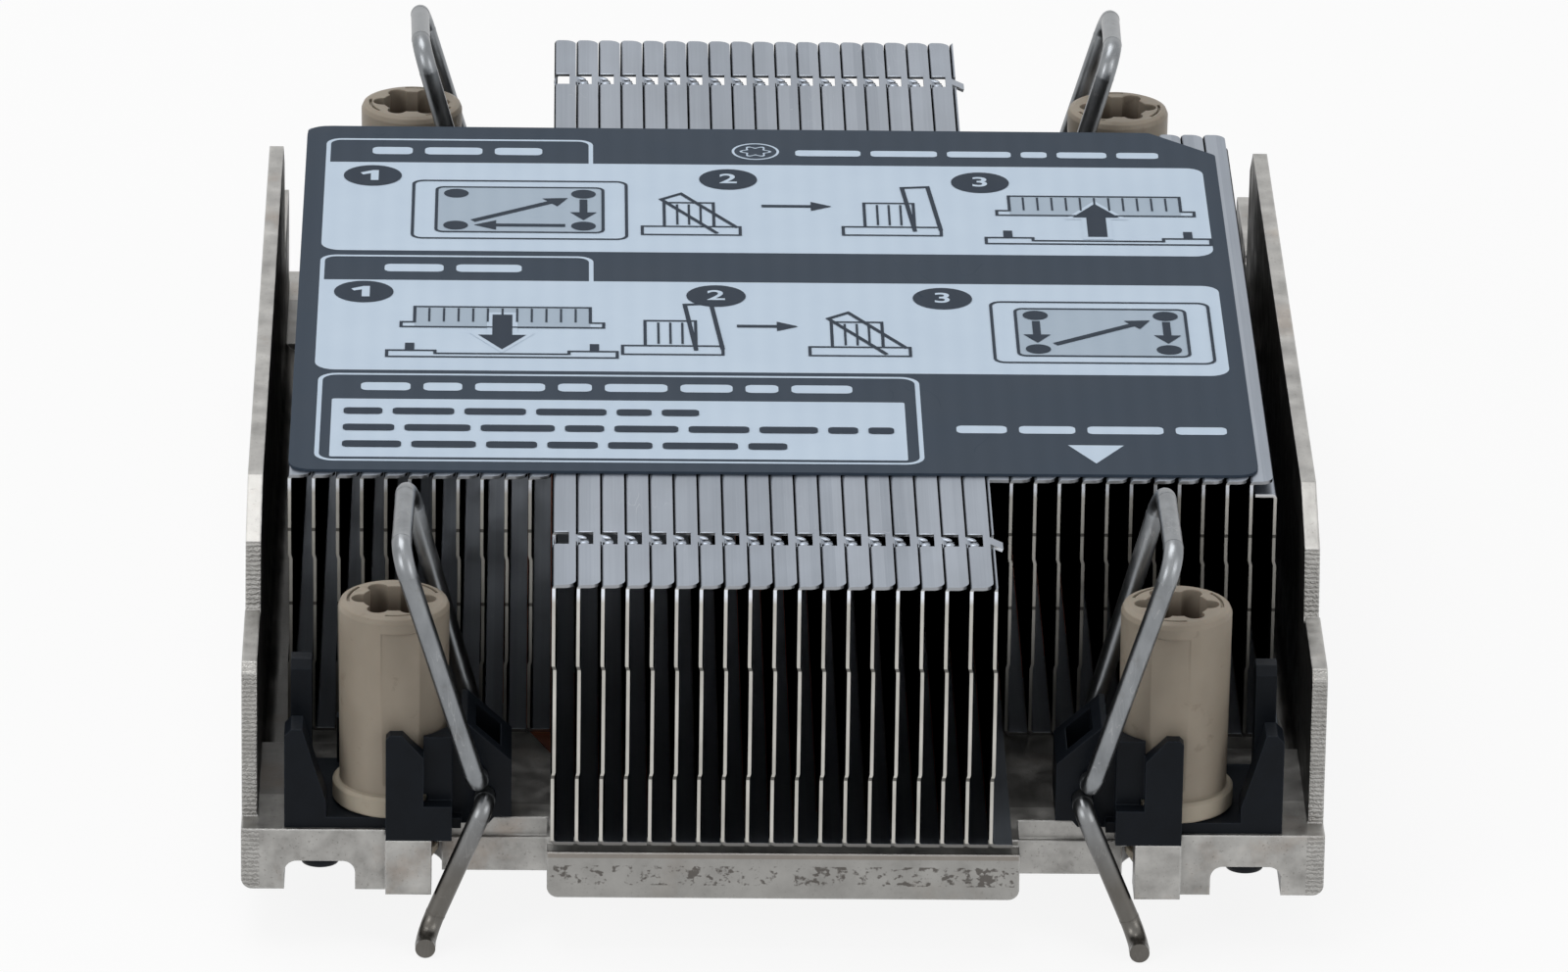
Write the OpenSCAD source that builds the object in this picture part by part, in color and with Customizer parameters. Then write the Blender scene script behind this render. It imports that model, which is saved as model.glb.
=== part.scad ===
// Passive heatsink for a server processor: a base plate with two side walls,
// a stack of folded sheet fins, a label on top, and at each corner a moulded
// clip with a captive nut and a hinged wire that hooks under the socket frame.
// Millimetres. Z is up, Y runs along the airflow (front is -Y), and the origin
// is the centre of the base plate's underside.

/* [Base plate] */
// Width across the outer faces of the two side walls
base_w = 78; // [72:0.5:90]
// How far the corner pads' ends lie back from the ends of the long fins
pad_inset = 1.0; // [0.6:0.1:1.2]
// Height of the plate's top, where the fins are soldered
base_t = 4.0; // [3.6:0.1:5]
// Height of the corner pads' top above the plate's top
pad_rise = 0.65; // [0.1:0.05:0.8]
// How far the pads reach in from the outer faces of the walls
pad_w = 10.4; // [10.2:0.1:10.8]
// Length of the corner pads along the airflow
pad_len = 16; // [14:0.5:18]
// How far the front and rear bars reach past the long fins' cells on each side
bar_side = 0.35; // [0:0.05:0.6]
// How far the bars stand out past the long fins
bar_out = 0.2; // [0:0.1:1]
// Step down from the plate's top to the bars' top at their ends
bar_step = 0.5; // [0.2:0.1:1]
// How far the stepped edge of the bars reaches in under the fins
bar_step_len = 1.6; // [0.8:0.1:3]
// Depth of the gaps between the bars and the corner blocks
gap_depth = 4.0; // [2:0.1:4.5]
// Width of the square corner blocks beside the pads
block_w = 3.3; // [2.5:0.1:3.4]
// How far the corner blocks stand out past the pads
block_out = 0.9; // [0.2:0.1:1.5]
// How far the corner blocks' top lies under the pads' top
block_drop = 0.45; // [0.1:0.05:0.8]
// Rounding of the base plate's vertical and lower corners
base_round = 0.8; // [0.3:0.1:1]
// Height of the thin ledge in the gaps beside the bars
ledge_z = 2.6; // [2:0.1:3]
// How far that ledge stands out
ledge_out = 0.4; // [0.2:0.1:1]

/* [Channels under the corners] */
// Width of the channel between the two feet of a corner
arch_w = 5.1; // [4.2:0.1:5.4]
// Height of the channel's roof above the underside
arch_h = 2.2; // [1.8:0.1:2.5]
// Width of the outer foot of a corner
foot_w = 3.1; // [2.6:0.1:3.6]
// Length of the channel from the pad's front face
arch_len = 13; // [11:0.5:16]
// Radius of the channel's upper corners
arch_round = 0.9; // [0.4:0.1:1.2]

/* [Side walls] */
// Thickness of the side walls
wall_t = 1.1; // [0.8:0.1:1.4]
// Height of the walls' middle part above the underside
wall_h = 23.4; // [18:0.1:26]
// How far the walls' highest part ends short of the short fins' ends
wall_top_inset = 2; // [0:0.1:4]
// Length of the slope at each end of the highest part
wall_slope_len = 6.6; // [3:0.1:7]
// Fall of that slope
wall_slope_drop = 2.6; // [1:0.1:4]
// Height of the low ear at the front end of each wall
ear_h_front = 16.4; // [12:0.1:17]
// Height of the low ear at the rear end of each wall
ear_h_rear = 12.8; // [12:0.1:17]
// Distance from the pad's end face back to the ear's end edge
ear_inset = 2.4; // [1:0.1:4]
// Radius of the relief notch at the foot of the wall's step
notch_r = 0.7; // [0.4:0.1:1]
// Radius of the fillet between a wall and the floor
floor_fillet = 1.0; // [0.5:0.1:1.2]

/* [Fins] */
// Number of fins
fin_count = 42; // [38:1:43]
// Number of long fins among them
long_count = 19; // [15:1:19]
// Air between the fins' cells and the side walls
fin_side_gap = 1.1; // [1:0.05:1.5]
// Sheet thickness of a fin
fin_t = 0.25; // [0.2:0.05:0.3]
// Height of a fin
fin_h = 20.2; // [18:0.1:20.5]
// Length of the long fins in the middle
fin_long = 114.8; // [105:0.2:125]
// How far the long fins reach past the short ones at each end
fin_step = 20.8; // [20:0.1:22]
// Outer radius of the bend at the top of a fin
bend_top_r = 0.35; // [0.35:0.05:0.6]
// Outer radius of the bend at the foot of a fin
bend_foot_r = 0.45; // [0.4:0.05:0.6]
// Gap between a fin's top flange and the next fin
flange_gap = 0.06; // [0.04:0.02:0.24]
// Sideways jog of the fin's middle band, which stiffens the sheet
fin_jog = 0.1; // [0:0.02:0.1]
// Height of the lower jog above the fin's foot
jog_low = 5.3; // [3:0.1:8]
// Height of the upper jog above the fin's foot
jog_high = 13.6; // [10:0.1:15]
// Radius of the free corners of the top flanges
flange_corner_r = 0.9; // [0.3:0.1:1.1]
// How much lower the inward flange of the last fin lies
last_flange_drop = 1.0; // [0.7:0.1:2]
// Air between the last fin's foot flange and the wall's fillet
last_foot_air = 0.15; // [0.05:0.05:0.3]
// Height over which the web shifts from one jog to the next
jog_rise = 0.35; // [0.2:0.05:0.6]

/* [Fin locks] */
// Distance of the lock line from the ends of the long fins
lock_inset = 9; // [5:0.1:12]
// Length of a lock window along the fin
window_len = 2.4; // [1.8:0.1:3]
// Reach of a lock window across the flange
window_w = 1.2; // [0.9:0.05:1.2]
// Depth of a lock window below the flange's top
window_depth = 1.1; // [1.05:0.05:1.4]
// Width of a lock tongue along the fin
tongue_w = 1.3; // [0.8:0.1:1.6]
// Length of a lock tongue past its flange
tongue_len = 1.05; // [0.6:0.05:1.1]
// Downward angle of a lock tongue
tongue_angle = 24; // [10:1:28]

/* [Heat pipes] */
// Width of the flattened heat pipes
pipe_w = 7; // [5:0.5:8]
// Depth to which they are let into the plate
pipe_depth = 2.5; // [1.5:0.1:2.8]
// Clearance on each side of a heat pipe in its groove
pipe_clear = 0.05; // [0.03:0.01:0.1]
// How far the heat pipes' ends lie back from the ends of the long fins
pipe_inset = 6.4; // [6:0.1:10]
// Distance of the outer heat pipes' ends from the middle plane
pipe_x_end = 11.5; // [10.5:0.5:12]
// Distance of the outer heat pipes' middle stretch from the middle plane
pipe_x_mid = 20; // [18:0.5:22]

/* [Label] */
// Thickness of the label
label_t = 0.2; // [0.1:0.05:0.4]
// How far the label stays back from the fins' right side
label_inset_right = 1.3; // [0:0.1:4]
// Radius of the label's corners
label_corner_r = 2; // [0.5:0.5:4]
// Size of the cut at the label's rear right corner
label_cut = 5; // [3:0.5:8]
// How far the label sits towards the front of the short fins
label_ahead = 0.5; // [0:0.1:1]

/* [Nuts] */
// Distance from the outer face of a side wall to the nuts' axes
nut_edge_x = 10.9; // [10.8:0.05:11]
// Distance from the end of a corner pad to the nuts' axes
nut_edge_y = 4.4; // [4.3:0.05:4.5]
// Outer radius of a nut's body
nut_r = 4; // [3.7:0.05:4.05]
// Draft of the body: how much smaller its foot is than its top
nut_draft = 0.1; // [0:0.02:0.2]
// Height of a nut's body above its flange
nut_body_h = 13.8; // [10:0.1:15]
// Radius of a nut's flange
nut_flange_r = 4.4; // [4.2:0.05:4.45]
// Thickness of a nut's flange
nut_flange_t = 1.55; // [1:0.05:2]
// Radius of the shank that runs through the clip and the base plate
nut_shank_r = 3.0; // [2.6:0.05:3.1]
// Height of the shank's lower end above the underside
nut_foot_z = 0.9; // [0.4:0.1:1.2]
// Radius of the barb that keeps the nut in its hole
nut_barb_r = 3.3; // [3.2:0.05:3.4]
// Radius of the threaded bore
nut_bore_r = 1.7; // [1.3:0.05:2]
// Depth of the threaded bore
nut_bore_depth = 11; // [6:0.5:12]
// Running clearance around the shank
nut_clear = 0.08; // [0.02:0.01:0.1]
// Axial play of a nut between the clip and its barb
nut_play = 0.1; // [0.05:0.01:0.3]
// Radius of the round hole between the lobes of the nut's socket
socket_r = 2.3; // [2:0.05:2.4]
// Radius of each of the socket's six lobes
socket_lobe_r = 0.75; // [0.5:0.05:0.8]
// Depth of the six-lobe socket
socket_depth = 5; // [2.5:0.1:5.5]
// Rounding of the nut's upper rim
nut_rim_r = 0.5; // [0.2:0.1:0.6]
// Width of the flat panel on the nut's side
nut_panel_w = 2.8; // [1.5:0.1:3.5]

/* [Clips] */
// Thickness of the clip's floor plate
clip_floor_t = 0.8; // [0.6:0.05:1]
// Height of the block in front of the nut above the pad
clip_block_h = 7.7; // [6.5:0.1:7.8]
// Height of the outer ear above the pad
clip_ear_h = 7.6; // [5:0.1:9]
// Height of the post behind the outer ear above the pad
clip_post_h = 11; // [8:0.1:11.5]
// Width of the full column in the block in front of the nut
clip_column_w = 2.7; // [1.5:0.1:2.7]
// Height of the ledge at the column's foot above the pad
clip_ledge_h = 2.2; // [1:0.1:4]
// Height of the side wall towards the fins above the pad
clip_side_h = 7.8; // [6:0.1:8]
// Height of the low wall behind the nut above the pad
clip_back_h = 4.4; // [2:0.1:5]
// Air between the nut's flange and the clip's walls around it
clip_nut_air = 0.3; // [0.2:0.05:0.35]
// Radius of a snap foot's shaft
snap_r = 1.0; // [0.8:0.05:1.1]
// Radius of a snap foot's head
snap_head_r = 1.55; // [1.25:0.05:1.6]
// Clearance of a snap foot in its hole
snap_clear = 0.05; // [0.02:0.01:0.1]

/* [Wires] */
// Diameter of the wires
wire_d = 1.45; // [1.2:0.05:1.5]
// Running clearance of a wire's axle in its clip
axle_clear = 0.05; // [0.02:0.01:0.1]
// Distance of the axle from the nut's axis, towards the fins
axle_x = 6.6; // [6.5:0.05:6.7]
// Height of the axle above the pad
axle_z = 2.2; // [2.1:0.05:2.4]
// Distance of each leg from the nut's axis, along the airflow
leg_y = 5.05; // [5:0.01:5.1]
// Length of the legs from the axle to the cross bar
leg_len = 20.7; // [19:0.1:22]
// Outward lean of the legs as they stand at rest
leg_lean = 17; // [15:0.5:18]
// How far each leg spreads along the airflow on its way up to the cross bar
leg_spread = 0.8; // [0:0.1:1]
// How much longer the leg without the hook is
leg_extra = 0.8; // [0:0.1:1]
// How far that leg's top lies further towards the fins than the other's
bar_skew = 0.5; // [0:0.05:1.2]
// Radius of the bends beside the cross bar
bend_bar_r = 2; // [1.5:0.1:3]
// Radius of the bends beside the axle
bend_axle_r = 1.0; // [0.8:0.1:1.2]
// Distance from the axle to the short end that the front leg turns in to
stub_rise = 1.7; // [1.6:0.05:1.8]
// Length of the hook leg below the axle
hook_len = 10.95; // [9:0.05:11.2]
// Outward lean of the hook leg
hook_lean = 22.5; // [21:0.5:24]
// Reach of the hook's tip past the leg
hook_reach = 2.5; // [2.2:0.1:4]
// Radius of the hook's bend
bend_hook_r = 1.8; // [1.2:0.1:2]

/* [Hidden] */
$fn = 48;
eps = 0.01;

first_long = floor((fin_count - long_count) / 2);
last_long = first_long + long_count - 1;
corners = [
    ["front_left", -1, -1],
    ["front_right", 1, -1],
    ["rear_left", -1, 1],
    ["rear_right", 1, 1],
];

// Heat pipes: name, side, and how far from its ends an outer one starts and
// finishes its spread.
pipes = [
    ["heat_pipe_left", -1, 6.5, 29],
    ["heat_pipe_middle", 0, 0, 0],
    ["heat_pipe_right", 1, 18, 39],
];

function two_digits(n) = str(n < 10 ? "0" : "", n);
function fin_name(i) = str("fin_", two_digits(i + 1));

// Heights
pad_z = base_t + pad_rise;
fin_top = base_t + fin_h;
block_z = pad_z - block_drop;
clip_floor_z = pad_z + clip_floor_t;
axle_height = pad_z + axle_z;
nut_flange_z = clip_floor_z + nut_play / 2;
nut_top_z = nut_flange_z + nut_flange_t + nut_body_h;

// Plan
wall_x = base_w / 2;
pad_x = wall_x - pad_w;
pad_y = fin_long / 2 - pad_inset;
nut_x = wall_x - nut_edge_x;
nut_y = pad_y - nut_edge_y;
bar_y = fin_long / 2 + bar_out;
ear_y = pad_y - ear_inset;
gap_y = pad_y - gap_depth;
fin_short = fin_long - 2 * fin_step;
wall_top_half = fin_short / 2 - wall_top_inset;
pipe_half = fin_long / 2 - pipe_inset;
fin_pitch = (base_w - 2 * wall_t - 2 * fin_side_gap) / fin_count;
fins_half = fin_pitch * (fin_count - 1) / 2 + fin_t / 2;
bar_w = long_count * fin_pitch + 2 * bar_side;
last_foot = (fin_pitch + fin_t) / 2 + fin_side_gap - floor_fillet - last_foot_air;
shank_hole_r = nut_shank_r + nut_clear;
wire_r = wire_d / 2;
stub_end = 0.7;
// The collars that join the stretches of a wire: how far they stand out, and length
seam = 0.015;
collar_len = 0.2;

// Colours
metal = [0.66, 0.64, 0.61];
fin_metal = [0.66, 0.68, 0.71];
copper = [0.72, 0.38, 0.22];
slate = [0.20, 0.24, 0.30];
tan_plastic = [0.67, 0.61, 0.53];
black_plastic = [0.10, 0.11, 0.12];
steel = [0.60, 0.61, 0.62];

// Places children, drawn with the nut's axis at the origin, +X towards the
// fins and +Y towards the middle of the heatsink, at one corner.
module at_corner(sx, sy) {
    translate([sx * nut_x, sy * nut_y, 0])
        mirror([sx > 0 ? 1 : 0, 0, 0])
            mirror([0, sy > 0 ? 1 : 0, 0])
                children();
}

module at_every_corner() {
    for (c = corners) at_corner(c[1], c[2]) children();
}

// A box from one corner point to the opposite one.
module span(a, b) {
    translate(a) cube(b - a);
}

// An outline in X and Z, drawn out along Y from y0 to y1.
module along_y(y0, y1) {
    translate([0, y1, 0]) rotate([90, 0, 0]) linear_extrude(y1 - y0) children();
}

// An outline in Y and Z, drawn out along X from x0 to x1.
module along_x(x0, x1) {
    translate([x0, 0, 0]) rotate([90, 0, 90]) linear_extrude(x1 - x0) children();
}

// ---------------------------------------------------------------- base plate

// One side wall as an outline in Y and Z, from its rear end to its front end.
module wall_outline() {
    step_y = wall_top_half + wall_slope_len;
    step_z = wall_h - wall_slope_drop;
    rear_step_y = wall_top_half + wall_slope_len / 2;
    difference() {
        polygon([
            [-ear_y, 0],
            [-ear_y, ear_h_front - notch_r],
            [-ear_y + notch_r, ear_h_front],
            [-step_y - 1, ear_h_front],
            [-step_y, step_z],
            [-wall_top_half, wall_h],
            [wall_top_half, wall_h],
            [rear_step_y, step_z],
            [rear_step_y + 1, ear_h_rear],
            [ear_y - notch_r, ear_h_rear],
            [ear_y, ear_h_rear - notch_r],
            [ear_y, 0],
        ]);
        translate([-step_y - 1 - notch_r, ear_h_front]) circle(notch_r);
        translate([rear_step_y + 1 + notch_r, ear_h_rear]) circle(notch_r);
    }
}

// A wall with its fillet at the floor, on the right side.
module wall() {
    along_x(wall_x - wall_t, wall_x) wall_outline();
    along_y(-ear_y, ear_y)
        translate([wall_x - wall_t, base_t])
            difference() {
                translate([-floor_fillet, -eps]) square(floor_fillet + eps);
                translate([-floor_fillet, floor_fillet]) circle(floor_fillet);
            }
}

// The cross-section of the plate between its two outer feet: square above,
// rounded below.
module floor_outline(half, top) {
    difference() {
        translate([-half, 0]) square([2 * half, top]);
        for (s = [-1, 1])
            translate([s * half, 0])
                difference() {
                    square(2 * base_round, center = true);
                    translate([-s * base_round, base_round]) circle(base_round);
                }
    }
}

// The bar under the long fins, with its stepped edges.
module bar() {
    difference() {
        along_y(-bar_y, bar_y) floor_outline(bar_w / 2, base_t);
        for (s = [-1, 1])
            translate([0, s * (bar_y - bar_step_len / 2), base_t])
                cube([bar_w + 1, bar_step_len + eps, 2 * bar_step], center = true);
    }
}

module plate_body() {
    along_y(-gap_y, gap_y) floor_outline(wall_x, base_t);
    along_y(-gap_y - ledge_out, gap_y + ledge_out)
        translate([-wall_x + pad_w, 0]) square([2 * (wall_x - pad_w), ledge_z]);
    bar();
    for (s = [-1, 1]) {
        // a pad at each end of the side
        for (t = [-1, 1])
            intersection() {
                along_y(-pad_y, pad_y) floor_outline(wall_x, pad_z);
                translate([s * (wall_x - pad_w / 2), t * (pad_y - pad_len / 2), pad_z / 2])
                    cube([pad_w, pad_len, pad_z + 1], center = true);
            }
        // corner blocks beside the pads
        for (t = [-1, 1])
            translate([s * (pad_x - block_w / 2), t * (pad_y + block_out - block_w), 0])
                translate([-block_w / 2, -block_w, 0])
                    cube([block_w, 2 * block_w, block_z]);
        mirror([s < 0 ? 1 : 0, 0, 0]) wall();
    }
}

// The channel below a corner, seen along Y and centred on its own width.
module arch_outline() {
    difference() {
        translate([-arch_w / 2, -eps]) square([arch_w, arch_h + eps]);
        for (s = [-1, 1])
            translate([s * arch_w / 2, arch_h])
                difference() {
                    square(2 * arch_round, center = true);
                    translate([-s * arch_round, -arch_round]) circle(arch_round);
                }
    }
}

snap_x = -(wall_x - foot_w - arch_w / 2) + nut_x;
snap_ys = [-2.4, 5.2];

module base_plate() color(metal) difference() {
    plate_body();
    at_every_corner() {
        // channel for the snap feet
        translate([snap_x, 0, 0]) along_y(nut_y - pad_y - 1, nut_y - pad_y + arch_len)
            arch_outline();
        // hole for the nut's shank, and room for its barb
        translate([0, 0, -1]) cylinder(r = shank_hole_r, h = pad_z + 2);
        translate([0, 0, -1]) cylinder(r = nut_barb_r + 0.3, h = arch_h + 1);
        // holes for the snap feet
        for (y = snap_ys)
            translate([snap_x, y, -1]) cylinder(r = snap_r + snap_clear, h = pad_z + 2);
    }
    for (k = [0 : len(pipes) - 1]) heat_pipe(k, pipe_w + 2 * pipe_clear, pipe_depth + 1);
}

// ---------------------------------------------------------------- heat pipes

// The point beside points[i], half the width w off to the left of the path.
function beside(points, i, w) =
    let (
        last = len(points) - 1,
        a = i > 0 ? points[i] - points[i - 1] : points[1] - points[0],
        b = i < last ? points[i + 1] - points[i] : a,
        ua = a / norm(a),
        mid = ua + b / norm(b),
        m = mid / norm(mid)
    )
    points[i] + [-m.y, m.x] * (w / 2) / (m * ua);

// A flat strip of one width through a list of points.
module strip(points, w, h) {
    last = len(points) - 1;
    linear_extrude(h) polygon(concat(
        [for (i = [0 : last]) beside(points, i, w)],
        [for (i = [last : -1 : 0]) beside(points, i, -w)]
    ));
}

// One heat pipe. The middle one is straight. The outer ones spread under the
// short fins, the left one from nearer its ends than the right one.
module heat_pipe(k, w, h) {
    side = pipes[k][1];
    xe = side * pipe_x_end;
    xm = side * pipe_x_mid;
    far = pipe_half - pipes[k][2];
    near = pipe_half - pipes[k][3];
    translate([0, 0, base_t - pipe_depth])
        if (side == 0) strip([[0, -pipe_half], [0, pipe_half]], w, h);
        else strip([[xe, -pipe_half], [xe, -far], [xm, -near],
                    [xm, near], [xe, far], [xe, pipe_half]], w, h);
}

// ---------------------------------------------------------------- fins

function fin_x(i) = (i - (fin_count - 1) / 2) * fin_pitch - fin_t / 2;
function is_long(i) = i >= first_long && i <= last_long;
function fin_len(i) = is_long(i) ? fin_long : fin_short;

// A quarter of a bent sheet around the origin, in the quadrant left and up.
module bend_outline(r) {
    intersection() {
        difference() {
            circle(r);
            circle(r - fin_t);
        }
        translate([-r, 0]) square(r);
    }
}

// The upright web in X and Z, with its jogged middle band. It ends inside the
// bends above and below.
module web_outline(top) {
    rise = jog_rise;
    low = bend_foot_r - eps;
    polygon([
        [0, low], [0, jog_low], [fin_jog, jog_low + rise],
        [fin_jog, jog_high], [0, jog_high + rise], [0, top + eps],
        [fin_t, top + eps], [fin_t, jog_high + rise], [fin_t + fin_jog, jog_high],
        [fin_t + fin_jog, jog_low + rise], [fin_t, jog_low], [fin_t, low],
    ]);
}

// A flange with its bend, in X and Z, lying on top of the origin's height.
module flange_outline(r, reach) {
    translate([r, -r]) bend_outline(r);
    translate([r - eps, -fin_t]) square([reach - r + eps, fin_t]);
}

// The folded sheet from y0 to y1. A back flange turns over the last gap.
module folded_sheet(y0, y1, top, foot, reach, back) {
    along_y(y0, y1) web_outline(top - bend_top_r);
    along_y(y0, y1) mirror([0, 1]) flange_outline(bend_foot_r, foot);
    along_y(y0, y1)
        translate([back ? fin_t : 0, top]) mirror([back ? 1 : 0, 0])
            flange_outline(bend_top_r, reach);
}

// What is cut from a flange's free corner at y, to round it.
module flange_corner_cut(reach, y) {
    s = sign(y);
    r = flange_corner_r;
    translate([reach - r, y - s * r, fin_h - fin_t - eps])
        difference() {
            translate([0, s > 0 ? 0 : -r - 1, 0]) cube([r + 1, r + 1, fin_t + 2 * eps]);
            translate([0, 0, -1]) cylinder(r = r, h = fin_t + 2);
        }
}

// The tongue that hooks a flange into the next fin's window.
module tongue(reach) {
    translate([reach, -tongue_w / 2, fin_h])
        rotate([0, tongue_angle, 0])
            translate([0, 0, -fin_t])
                cube([tongue_len, tongue_w, fin_t]);
}

module fin(i) color(fin_metal) translate([fin_x(i), 0, base_t]) {
    half = fin_len(i) / 2;
    reach = fin_pitch - flange_gap;
    lock_y = fin_long / 2 - lock_inset;
    if (i == fin_count - 1)
        folded_sheet(-half, half, fin_h - last_flange_drop, last_foot, reach - fin_jog, true);
    else difference() {
        union() {
            folded_sheet(-half, half, fin_h, reach, reach, false);
            if (is_long(i) && i < last_long)
                for (s = [-1, 1]) translate([0, s * lock_y, 0]) tongue(reach);
        }
        // the last long fin has no top flange where it stands out alone
        if (i == last_long)
            for (s = [-1, 1])
                translate([fin_t, s > 0 ? fin_short / 2 : -fin_long / 2 - 1, fin_h - bend_top_r])
                    cube([fin_pitch, (fin_long - fin_short) / 2 + 1, bend_top_r + 1]);
        if (is_long(i))
            for (s = [-1, 1])
                translate([-eps, s * lock_y - window_len / 2, fin_h - window_depth])
                    cube([window_w, window_len, window_depth + 1]);
        for (s = [-1, 1]) flange_corner_cut(reach, s * half);
    }
}

// ---------------------------------------------------------------- label

module label() color(slate) {
    x0 = -fins_half;
    x1 = fins_half - label_inset_right;
    y1 = fin_short / 2;
    r = label_corner_r;
    translate([0, -label_ahead, fin_top]) linear_extrude(label_t) difference() {
        polygon([[x0, -y1], [x1, -y1], [x1, y1 - label_cut], [x1 - label_cut, y1], [x0, y1]]);
        // three rounded corners; the fourth is cut at a slant
        for (c = [[x0, -y1, 1, 1], [x1, -y1, -1, 1], [x0, y1, 1, -1]])
            translate([c[0], c[1]]) difference() {
                square(2 * r, center = true);
                translate([c[2] * r, c[3] * r]) circle(r);
            }
    }
}

// ---------------------------------------------------------------- nuts

// The six-lobe socket: a round hole with six round lobes around it.
module socket() {
    cylinder(r = socket_r, h = socket_depth + 1);
    for (k = [0 : 5])
        rotate(60 * k)
            translate([socket_r, 0, 0])
                cylinder(r = socket_lobe_r, h = socket_depth + 1);
}

// One nut, with its axis at the origin. Its threaded bore opens downwards.
module nut() color(tan_plastic) {
    body_z = nut_flange_z + nut_flange_t;
    barb_z = arch_h - nut_play / 2;
    barb_h = 0.5;
    crescent_r = socket_r + socket_lobe_r + 0.12;
    difference() {
        union() {
            rotate_extrude() polygon([
                [0, nut_foot_z],
                [nut_shank_r - 0.2, nut_foot_z],
                [nut_barb_r, barb_z - barb_h],
                [nut_barb_r, barb_z],
                [nut_shank_r, barb_z],
                [nut_shank_r, nut_flange_z],
                [nut_flange_r - 0.15, nut_flange_z],
                [nut_flange_r, nut_flange_z + 0.15],
                [nut_flange_r, body_z - 0.2],
                [nut_flange_r - 0.2, body_z],
                [nut_r - nut_draft, body_z],
                [nut_r, nut_top_z - nut_rim_r],
                [nut_r - nut_rim_r * 0.3, nut_top_z - nut_rim_r * 0.3],
                [nut_r - nut_rim_r, nut_top_z],
                [0, nut_top_z],
            ]);
        }
        translate([0, 0, nut_foot_z - 1]) cylinder(r = nut_bore_r, h = nut_bore_depth + 1);
        translate([0, 0, nut_top_z - socket_depth]) socket();
        // shallow crescents in the rim
        for (k = [0 : 2])
            rotate(20 + 120 * k)
                translate([0, 0, nut_top_z - 0.25])
                    rotate_extrude(angle = 50)
                        translate([crescent_r, 0]) square([0.22, 1]);
        // flat panel on the side that faces out along the airflow
        rotate(8)
            translate([-nut_panel_w / 2, -nut_r - 1, body_z + 0.8])
                cube([nut_panel_w, 1.3, nut_body_h - 2]);
    }
}

// ---------------------------------------------------------------- clips

// A snap foot, pointing down from the clip's floor through the base plate.
module snap_foot() {
    translate([0, 0, arch_h - 0.05]) cylinder(r = snap_r, h = clip_floor_z - arch_h);
    rotate_extrude() intersection() {
        translate([0, arch_h - 0.02]) circle(snap_head_r);
        translate([0, arch_h - 0.02 - snap_head_r / 2]) square([snap_head_r, snap_head_r / 2]);
    }
}

// The outer ear with its sloping web, in X and Z above the pad.
module ear_outline(outer_x) {
    root_x = -nut_flange_r - clip_nut_air - 0.1;
    polygon([
        [outer_x, 0], [outer_x, clip_ear_h - 0.5], [outer_x + 0.5, clip_ear_h],
        [outer_x + 1.3, clip_ear_h], [outer_x + 2.3, clip_ear_h * 0.55],
        [root_x, 2], [root_x, 0],
    ]);
}

// The taller post behind the ear, in Y and Z above the pad.
module post_outline() {
    polygon([
        [0.2, 0], [0.6, clip_post_h - 0.6], [1.2, clip_post_h],
        [2.4, clip_post_h], [3.0, clip_post_h - 0.6], [3.6, 0],
    ]);
}

// The block in front of the nut: a full column with a slanted top, a ledge at
// its foot and a lower step beside it, which leaves room for the wire's leg.
module clip_block(column_x, leg_side, step_x) {
    top = pad_z + clip_block_h;
    column_end = column_x + clip_column_w;
    along_y(clip_front_y, clip_mid_y) polygon([
        [column_x, block_z], [column_x, top - 0.3], [column_x + 0.3, top],
        [column_end - 1.5, top], [column_end, top - 1.7], [column_end, block_z],
    ]);
    span([column_end - eps, clip_front_y, block_z], [leg_side, clip_mid_y, pad_z + clip_ledge_h]);
    span([column_end - eps, -leg_y + wire_r + clip_nut_air, pad_z], [leg_side, clip_mid_y, top - 0.6]);
    span([leg_side - eps, clip_mid_y - 1, pad_z], [step_x, clip_mid_y, top - 0.6]);
}

// The side wall and journal towards the fins, in X and Z above the pad.
module journal_outline(near, far) {
    polygon([
        [near, 0], [near, clip_side_h], [near + 0.4, clip_side_h],
        [far, clip_side_h - 2.9], [far, 0.5], [far - 1.2, 0.5], [far - 1.6, 0],
    ]);
}

clip_front_y = -(pad_y + block_out - nut_y);
clip_mid_y = -2;

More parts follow.
